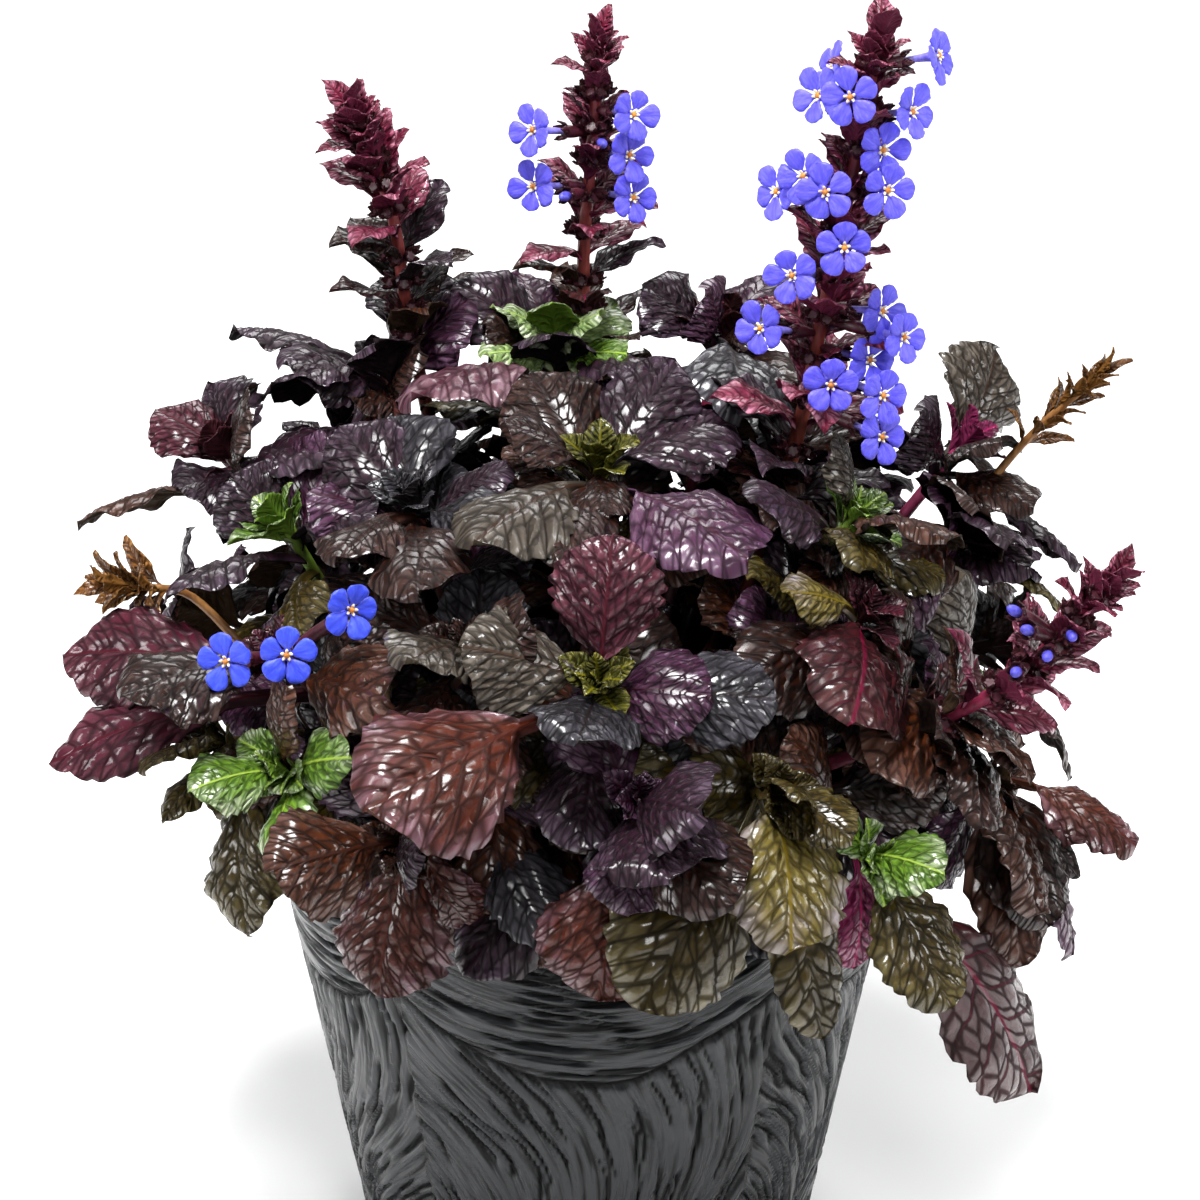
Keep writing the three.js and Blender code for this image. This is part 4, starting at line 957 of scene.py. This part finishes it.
# Darker leaves lower on the stem fill the mound. A high crown has more of them, and closer.
filling = dict(
    highFrom=220, high=dict(count=14, first=4, step=3.6, reach=1.1), low=dict(count=11, first=7, step=4.2, reach=1.02),
    backCount=14, backReach=1.16, lowest=0.62, turn=70, turnSpread=25, lean=66, leanSpread=16, long=31, longSpread=6,
    leastHeight=140, slim=0.68, stalk=0.2, tones=("umber", "dusk", "plum", "bronze", "slate"),
    greenTones=("umber", "olive", "bronze", "dusk"))
# Leaves that hang over the rim, from the stems that lean out.
overRim = dict(
    leaningOut=40, turns=(-24, -8, 8, 24), turnSpread=5, share=0.48, step=0.05, out=94, outSpread=6, height=144,
    heightSpread=9, longest=56, blade=33, leastStalk=0.12, wide=22, wideSpread=3, bend=(0.16, 0.06, 0.0))
extraRule = dict(light=(0, -0.9, 0.5), stalk=0.22)
for name, shoot in shoots.items():
    name = "shoot_" + name
    sprig = sprigs[name] = Sprig()
    path = paths[name]
    isBack = name.startswith("shoot_back")
    crown = np.array(shoot["crown"], float)
    axis = unit(crown - (0, 0, growth["heart"]))
    low, high = ribTints.get(shoot["heart"], usualRibs)
    addStem(sprig, path, (1.7, 1.7, 1.5), (low, low, high))
    for down, tip, wide, stalk, tone in shoot["leaves"]:
        middle = path.below(down)
        tip = np.array(tip, float)
        root = middle + unit(tip - middle) * growth["rootOut"]
        tip, wide = leaning(name, root, tip, axis, wide) or (tip, wide)
        addLeaf(sprig, root, tip, axis, wide, stalk, tone)
    rule = backHeart if isBack else heart
    across = unit(np.cross(axis, (0.3, 1, 0.1)))
    start = draw.next() * 180
    for pair in range(shoot["pairs"]):
        for half in (0, 180):
            length = rule["first"] * rule["growth"] ** pair
            opened = math.radians(rule["open"] + rule["opening"] * pair)
            out = turned(across, axis, start + 90 * pair + half + draw.spread(12))
            root = path.below(1 + rule["step"] * pair) + out * growth["rootOut"]
            tip = root + (axis * math.cos(opened) + out * math.sin(opened)) * length * (1 + draw.spread(0.1))
            found = leaning(name, root, tip, axis, rule["slim"] * length)
            if found:
                tip, wide = found
                addLeaf(sprig, root, tip, axis, wide, 0.12, shoot["heart"], form=(wide, 0.12, rule["cup"]))
    seats = [path.below(crownTuft["below"] + crownTuft["step"] * k) for k in range(crownTuft["count"])]
    addTuft(sprig, seats, axis, across, crownTuft, shoot["heart"])

    rule = filling
    filler = rule["greenTones"] if shoot["heart"] in greenHearts else rule["tones"]
    band = rule["high"] if crown[2] > rule["highFrom"] else rule["low"]
    furthest = rule["backReach"] if isBack else band["reach"]
    for k in range(rule["backCount"] if isBack else band["count"]):
        middle = path.below(min(band["first"] + band["step"] * k, path.length * rule["lowest"]))
        out = turned(across, axis, growth["windTurn"] * k + rule["turn"] + loose.spread(rule["turnSpread"]))
        lean = math.radians(rule["lean"] + loose.spread(rule["leanSpread"]))
        long = rule["long"] + loose.spread(rule["longSpread"])
        tip = middle + (axis * math.cos(lean) + out * math.sin(lean)) * long
        level = math.hypot(tip[0] / growth["across"], tip[1] / growth["deep"])
        dome = math.hypot(level, max(0, tip[2] - growth["middle"]) / growth["rise"])
        if tip[2] >= rule["leastHeight"] and dome <= furthest:
            addLeaf(sprig, middle + out, tip, axis, long * rule["slim"], rule["stalk"], filler[k % len(filler)],
                    kind=kinds["middle"])

    rule = overRim
    low = path.at(0.5)
    outward = unit((low[0], low[1], 0))
    for k, side in enumerate(rule["turns"] if math.hypot(low[0], low[1]) > rule["leaningOut"] else ()):
        start = path.at(rule["share"] + rule["step"] * (k % 3))
        aside = side + loose.spread(rule["turnSpread"])
        tip = turned(outward, (0, 0, 1), aside) * (rule["out"] + loose.spread(rule["outSpread"]))
        tip = tip + np.array((0, 0, rule["height"] + loose.spread(rule["heightSpread"])))
        long = np.linalg.norm(tip - start)
        if long < rule["longest"]:
            stalk = max(rule["leastStalk"], 1 - rule["blade"] / long)
            wide = rule["wide"] + loose.spread(rule["wideSpread"])
            addLeaf(sprig, start + unit(tip - start), tip, (outward[0] * 0.5, outward[1] * 0.5, 1), wide, stalk,
                    filler[(k + 1) % len(filler)], kind=kinds["middle"], bend=rule["bend"])
    for down, tip, wide, tone in extraLeaves.get(name[len("shoot_"):], []):
        addLeaf(sprig, path.below(down), np.array(tip, float), unit(axis + extraRule["light"]), wide,
                extraRule["stalk"], tone, kind=kinds["middle"])

budMaking = dict(foot=2.5, teeth=3.0, size=(2.7, 1.3, 1.3), tint="#5450d8", strength=0.8)
for name, centres in buds.items():
    for centre in centres:
        rule = budMaking
        centre = np.array(centre, float)
        seat = seatOn(paths[name], centre)
        way = unit(centre - seat)
        calyx(sprigs[name], seat, centre - way * rule["foot"], rule["teeth"])
        sprigs[name].bead(centre - way, way, rule["size"], colourOf(rule["tint"], rule["strength"]))
for name, centres in blooms.items():
    nodes = [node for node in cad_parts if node.startswith("bloom_" + name.split("_", 1)[1] + "_")]
    for centre in centres:
        rule = bloomMaking
        centre = np.array(centre, float)
        seat, facing, inward, length = bloomParts(centre, paths[name])
        mark = centre - facing * rule["mark"]
        node = min(nodes, key=lambda n: np.min(np.sum((cadPoints[n] - mark) ** 2, axis=1)))
        sprig = sprigs.setdefault(node, Sprig())
        end = centre + inward * length
        addBloom(sprig, centre, facing, end, "blue" if name == "shoot_dark_left" else "violet")
        calyx(sprigs[name], seat, end + inward * rule["calyxOver"], rule["calyxTeeth"])

tree = growTree()
total = most = 0
for name, sprig in sprigs.items():
    isBloom = name.startswith("bloom")
    piece = plainMesh("dressed_" + name, sprig.mesh(name + "_rows"), tree, {
        "Leaf finish": finishes["petal" if isBloom else "leaf"], "Stem finish": finishes["stem"],
        "Bead finish": finishes["bead"]}, 0.001)
    count = sum(len(p.vertices) - 2 for p in piece.data.polygons)
    total, most = total + count, max(most, count)
    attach(piece, "root")
    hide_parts(name)
print("plant grown:", len(sprigs), "pieces,", total, "triangles, at most", most, "in one")


# The pot: a tapered wall with strokes carved by hand. Millimetres.
potMaking = dict(
    foot=60, rim=85, height=150, wall=4, floor=7, edge=1.2, round=432, rows=212, drainRing=32, drainRadius=3.5,
    drainHoles=4)
# The carving: swept cuts in a band whose lower edge hangs in swags, over fans of rays with an arch in each.
carvingRule = dict(
    depth=1.7, plain=0.6, middle=75, fans=5, bandFrom=96, sag=16, swagWave=3, seam=1.4, seamDepth=0.8, edge=1.2,
    pitch=3.0, sharp=0.23, lightPitch=0.62, lightSharp=0.28, fanShift=14, fanHeart=40, rayWidth=95, rayWave=7,
    archHigh=4, archWide=1.1, arch=27, archWave=4, arcWidth=60)


def wave(x, seed):
    # A wandering line: a few sines with their own phases.
    phases = np.random.default_rng(seed).uniform(0, 2 * math.pi, 4)
    return sum(np.sin(x * k + phase) / k ** 0.7 for k, phase in zip((1.0, 1.73, 2.9, 4.7), phases)) / 2.2


def cuts(across, along, seed, pitch, sharp):
    drift = 2.4 * wave(along / 19 + across / 31 + seed, seed) + 0.8 * wave(along / 7.5 + across / 9, seed + 1)
    place = (across + drift) / pitch
    lane = np.floor(place + 0.5)
    own = np.sin(lane * 12.9898 + seed * 78.233) * 43758.5453
    own = own - np.floor(own)
    phase = along / (6 + 6 * own) + own * 40
    mask = np.clip(1.5 * np.sin(phase) + 0.45, 0, 1)
    middle = 0.2 * np.sin(phase * 0.5 + own * 9)
    return np.exp(-(((place - lane) - middle) / sharp) ** 2) * mask


def strokes(across, along, seed):
    # Smooth ridges with lens-shaped cuts between them, which the finish paints dark as painted shade: 1 on a ridge, 0
    # in a cut.
    rule = carvingRule
    deep = cuts(across, along, seed, rule["pitch"], rule["sharp"])
    light = cuts(across, along + 31, seed + 7, rule["pitch"] * rule["lightPitch"], rule["lightSharp"])
    roll = 0.5 + 0.5 * wave(across / 2.6 + 0.6 * wave(along / 12, seed), seed + 3)
    return np.clip(1 - 0.85 * deep - 0.35 * light - 0.25 * np.clip(roll, 0, 1), 0, 1)


def carving(turn, height):
    # Takes millimetres round the wall, 0 at the front. Gives the relief from 0 to 1 and the stroke's own ways.
    rule = carvingRule
    girth = 2 * math.pi * rule["middle"]
    turn = (turn + girth / 2) % girth - girth / 2
    fanWidth = girth / rule["fans"]
    fan = np.floor(turn / fanWidth + 0.5)
    across = turn - fan * fanWidth
    swag = rule["bandFrom"] + rule["sag"] * (2 * across / fanWidth) ** 2 + rule["swagWave"] * wave(turn / 20, 5)
    bandAcross = height - rule["sag"] * (2 * across / fanWidth) ** 2 * (height / potMaking["height"]) ** 2
    band = strokes(bandAcross, turn, 3)
    dx = turn - (fan * fanWidth + rule["fanShift"] * np.sin(fan * 2.3 + 1))
    dz = height - rule["archHigh"]
    angle = np.arctan2(dx, dz + rule["fanHeart"])
    radius = np.hypot(dx, dz + rule["fanHeart"])
    rayPlace = angle * rule["rayWidth"] + rule["rayWave"] * np.sin(radius / 21 + fan)
    archRadius = np.hypot(dx * rule["archWide"], dz - rule["archHigh"])
    arcPlace = angle * rule["arcWidth"]
    isArc = archRadius < rule["arch"] + rule["archWave"] * wave(angle * 5, 9)
    low = np.where(isArc, strokes(archRadius, arcPlace, 23), strokes(rayPlace, radius, 11))
    isBand = 1 / (1 + np.exp(-(height - swag) / rule["edge"]))
    seam = np.exp(-((height - swag) / rule["seam"]) ** 2)
    relief = (band * isBand + low * (1 - isBand)) * (1 - rule["seamDepth"] * seam)
    lowWay = np.where(isArc, [archRadius, arcPlace], [rayPlace, radius])
    return relief, np.where(height > swag, [bandAcross, turn], lowWay)


def wallAt(height):
    # How far the pot's outside is from its axis.
    return potMaking["foot"] + (potMaking["rim"] - potMaking["foot"]) * height / potMaking["height"]


def makePot():
    # Rings from the foot up the outside, over the rim and down the inside: radius, height, whether it is carved.
    n, sizes = potMaking["round"], potMaking
    top, edge, wall, floor = sizes["height"], sizes["edge"], sizes["wall"], sizes["floor"]
    lip = wallAt(top)
    rings = [(wallAt(0) - edge * (1 - z), z * edge * 0.6, False) for z in (0.0, 0.5)]
    rings += [(wallAt(z), z, True) for z in np.linspace(edge, top - edge, sizes["rows"])]
    rings += [(lip - 0.4 * edge, top - 0.35 * edge, False), (lip - edge, top, False), (lip - wall + edge, top, False),
              (lip - wall + 0.35 * edge, top - 0.35 * edge, False), (lip - wall, top - edge, False)]
    rings += [(wallAt(z) - wall, z, False) for z in (120, 90, 60, 30, floor + 1)]
    rings += [(wallAt(floor) - wall - 1, floor, False)]
    angles = np.arange(n) * 2 * math.pi / n
    points, carve, ways = [], [], []
    for radius, z, isCarved in rings:
        relief, way = carving((angles + math.pi / 2) * carvingRule["middle"], np.full(n, z))
        relief = relief if isCarved else np.full(n, carvingRule["plain"])
        ease = min(1, (z - edge) / 3, (top - edge - z) / 2.5) if isCarved else 0  # shallower at the foot and the rim
        r = radius - carvingRule["depth"] * (1 - relief) * max(0, ease)
        points.append(np.stack([r * np.cos(angles), r * np.sin(angles), np.full(n, z)], 1))
        carve.append(relief)
        ways.append(np.stack([*way, np.zeros(n)], 1))
    vertices = np.concatenate(points) / 1000
    faces = []
    for i in range(len(rings) - 1):
        for j in range(n):
            k = (j + 1) % n
            faces.append((i * n + j, i * n + k, (i + 1) * n + k, (i + 1) * n + j))
    last = (len(rings) - 1) * n
    faces.append(tuple(range(n - 1, -1, -1)))
    faces.append(tuple(last + j for j in range(n)))
    mesh = bpy.data.meshes.new("pot_wall")
    mesh.from_pydata(vertices.tolist(), [], faces)
    relief = mesh.attributes.new("relief", "FLOAT", "POINT")
    relief.data.foreach_set("value", np.concatenate(carve))
    strokeWay = mesh.attributes.new("strokeWay", "FLOAT_VECTOR", "POINT")
    strokeWay.data.foreach_set("vector", np.concatenate(ways).ravel())
    pot = bpy.data.objects.new("dressed_pot", mesh)
    bpy.context.scene.collection.objects.link(pot)
    bpy.context.view_layer.objects.active = pot
    for i in range(sizes["drainHoles"]):  # drain holes through the floor
        angle = (i + 0.5) * 2 * math.pi / sizes["drainHoles"]
        bpy.ops.mesh.primitive_cylinder_add(
            vertices=24, radius=sizes["drainRadius"] / 1000, depth=0.03,
            location=(sizes["drainRing"] * math.cos(angle) / 1000, sizes["drainRing"] * math.sin(angle) / 1000, 0.003))
        drill = bpy.context.object
        cut = pot.modifiers.new("drain", "BOOLEAN")
        cut.operation, cut.solver, cut.object = "DIFFERENCE", "EXACT", drill
        bpy.context.view_layer.update()
        graph = bpy.context.evaluated_depsgraph_get()
        drilled = bpy.data.meshes.new_from_object(
            pot.evaluated_get(graph), preserve_all_data_layers=True, depsgraph=graph)
        pot.modifiers.remove(cut)
        pot.data = drilled
        bpy.data.objects.remove(drill)
    pot.data.shade_smooth()
    return pot


# The ridges shine a little under a coat and are painted a lighter grey as painted sheen; the cuts between them are
# painted near-black as painted shade. The finer strokes are painted along the carved ones.
potLook = dict(
    glaze="#020203", ridgeSheen="#15181c", strokes=(0.6, 0.04, 1.0), unrest=0.15, pits=260.0, roughness=0.34,
    pitRoughness=0.16, cutRoughness=0.2, coat=0.5, coatRoughness=0.25, gloss=0.12, depth=0.0014)


def potFinish():
    look = potLook
    finish, shader, wire = newFinish("pot_glaze")
    relief = attributeOf(wire, "relief", "Fac")
    fine = (attributeOf(wire, "strokeWay") * look["strokes"]).noise(1.0, 1.0, look["unrest"])
    pits = placeOf(wire).noise(look["pits"], 3.0)
    # ridge sets painted sheen on the carved ridges and painted shade in the cuts, as well as the coat and roughness.
    ridge = (0.12 + 0.88 * fine.rise(0.3, 0.46)) * relief.rise(0.1, 0.6)
    paint = (ridge * (0.6 + 0.5 * pits)).colourBetween(colourOf(look["glaze"]), colourOf(look["ridgeSheen"]))
    join(paint, shader, "Base Color")
    join(look["roughness"] + look["pitRoughness"] * pits + look["cutRoughness"] * (1 - ridge), shader, "Roughness")
    join(ridge * look["coat"], shader, "Coat Weight")
    join(bump(fine.rise(0.3, 0.6), look["depth"]), shader, "Normal")
    shader.inputs["Coat Roughness"].default_value = look["coatRoughness"]
    shader.inputs["Specular IOR Level"].default_value = look["gloss"]
    return finish


pot = makePot()
pot.data.materials.clear()
pot.data.materials.append(potFinish())
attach(pot, "root")
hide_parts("pot")
print("pot carved:", len(pot.data.polygons), "faces")

# The soil stays as the solid model has it, with crumbs strewn on it.
crumbMaking = dict(density=9000.0, radius=0.001, least=0.5, most=2.3, above=0.13, level=0.7, seed=4)


def crumbTree():
    tree = bpy.data.node_groups.new("crumbs", "GeometryNodeTree")
    sizes = openTree(tree, [
        ("Geometry", "Geometry", None), ("Density", "Float", crumbMaking["density"]),
        ("Seed", "Int", crumbMaking["seed"]), ("Finish", "Material", None)])
    wire = sizes["Geometry"]
    compared = {"data_type": "FLOAT", "operation": "GREATER_THAN"}
    facesUp = wire.make("FunctionNodeCompare", compared, {
        0: wire.make("GeometryNodeInputNormal").parts()[2], 1: crumbMaking["level"]})
    isTop = wire.make("FunctionNodeCompare", compared, {
        0: wire.make("GeometryNodeInputPosition").parts()[2], 1: crumbMaking["above"]})
    spots = wire.make("GeometryNodeDistributePointsOnFaces", None, {
        "Mesh": wire, "Selection": wire.make("FunctionNodeBooleanMath", {"operation": "AND"}, {0: facesUp, 1: isTop}),
        "Density": sizes["Density"], "Seed": sizes["Seed"]})
    crumb = wire.make("GeometryNodeMeshIcoSphere", None, {"Radius": crumbMaking["radius"], "Subdivisions": 1})
    amount = wire.make("FunctionNodeRandomValue", {"data_type": "FLOAT_VECTOR"}, {
        0: (crumbMaking["least"],) * 3, 1: (crumbMaking["most"],) * 3, "Seed": 3})
    angle = wire.make("FunctionNodeRandomValue", {"data_type": "FLOAT_VECTOR"}, {0: (0, 0, 0), 1: (6, 6, 6), "Seed": 5})
    strewn = wire.make("GeometryNodeInstanceOnPoints", None, {
        "Points": spots, "Instance": crumb, "Scale": amount, "Rotation": angle})
    strewn = wire.make("GeometryNodeRealizeInstances", None, {"Geometry": strewn})
    strewn = wire.make("GeometryNodeSetMaterial", None, {"Geometry": strewn, "Material": sizes["Finish"]})
    tree.links.new(strewn.socket, tree.nodes.new("NodeGroupOutput").inputs[0])
    return tree


soilLook = dict(dark="#120b07", pale="#4c3424", lumps=300.0, bits=420.0, depth=0.0015)


def soilFinish():
    look = soilLook
    finish, shader, wire = newFinish("soil_crumb")
    place = placeOf(wire)
    lumps = place.noise(look["lumps"], 5.0)
    bits = wire.make("ShaderNodeTexVoronoi", None, {"Vector": place, "Scale": look["bits"]})
    earth = (lumps * 0.8 + bits * 0.4).rise(0.3, 0.9).colourBetween(colourOf(look["dark"]), colourOf(look["pale"]))
    join(earth, shader, "Base Color")
    join(lumps.rise(0.2, 0.8, 0.8, 1.0), shader, "Roughness")
    join(bump(lumps + bits * 0.6, look["depth"]), shader, "Normal")
    return finish


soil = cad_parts["soil"]
soilSkin = soilFinish()
for slot in soil.material_slots:
    slot.material = soilSkin
crumbs = plainMesh("soil_crumbs", soil.data.copy(), crumbTree(), {"Finish": soilSkin})
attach(crumbs, "root")
print("soil strewn:", len(crumbs.data.polygons), "faces")

# A plain pale floor and soft boxes of light.
studio = dict(
    floor=4.0, floorTints=("#fafafa", "#fdfdfd"), floorRoughness=0.8, world=0.18, sky=(0.96, 0.97, 1.0, 1),
    aim=(0, 0, 0.2), boxes=[  # where, width and height in metres, power in watts
        ((-0.1, -0.15, 1.1), (0.35, 0.3), 17), ((-0.9, -0.3, 0.6), (0.22, 0.6), 6), ((0.9, -0.2, 0.65), (0.22, 0.6), 6),
        ((0.25, -0.9, 1.0), (0.25, 0.25), 3.5), ((0.0, 1.4, 1.2), (1.8, 0.5), 20)])


def floorFinish():
    finish, shader, wire = newFinish("studio_floor")
    first, second = [colourOf(tint) for tint in studio["floorTints"]]
    join(placeOf(wire).noise(3.0, 1.0).colourBetween(first, second), shader, "Base Color")
    shader.inputs["Roughness"].default_value = studio["floorRoughness"]
    return finish


half = studio["floor"]
ground = bpy.data.meshes.new("floor")
ground.from_pydata([(-half, -half, 0), (half, -half, 0), (half, half, 0), (-half, half, 0)], [], [(0, 1, 2, 3)])
floor = bpy.data.objects.new("floor", ground)
ground.materials.append(floorFinish())
bpy.context.scene.collection.objects.link(floor)
for i, (place, (wide, deep), power) in enumerate(studio["boxes"]):
    lamp = bpy.data.lights.new(f"softbox_{i + 1}", "AREA")
    lamp.shape, lamp.size, lamp.size_y, lamp.energy = "RECTANGLE", wide, deep, power
    box = bpy.data.objects.new(lamp.name, lamp)
    box.location = place
    aim = Vector(studio["aim"]) - Vector(place)
    box.rotation_euler = aim.to_track_quat("-Z", "Y").to_euler()
    bpy.context.scene.collection.objects.link(box)
world = bpy.data.worlds.new("studio")
world.use_nodes = True
sky = world.node_tree.nodes["Background"]
sky.inputs["Color"].default_value = studio["sky"]
sky.inputs["Strength"].default_value = studio["world"]
bpy.context.scene.world = world
bpy.context.scene.view_settings.view_transform = "Standard"

print("studio lit")
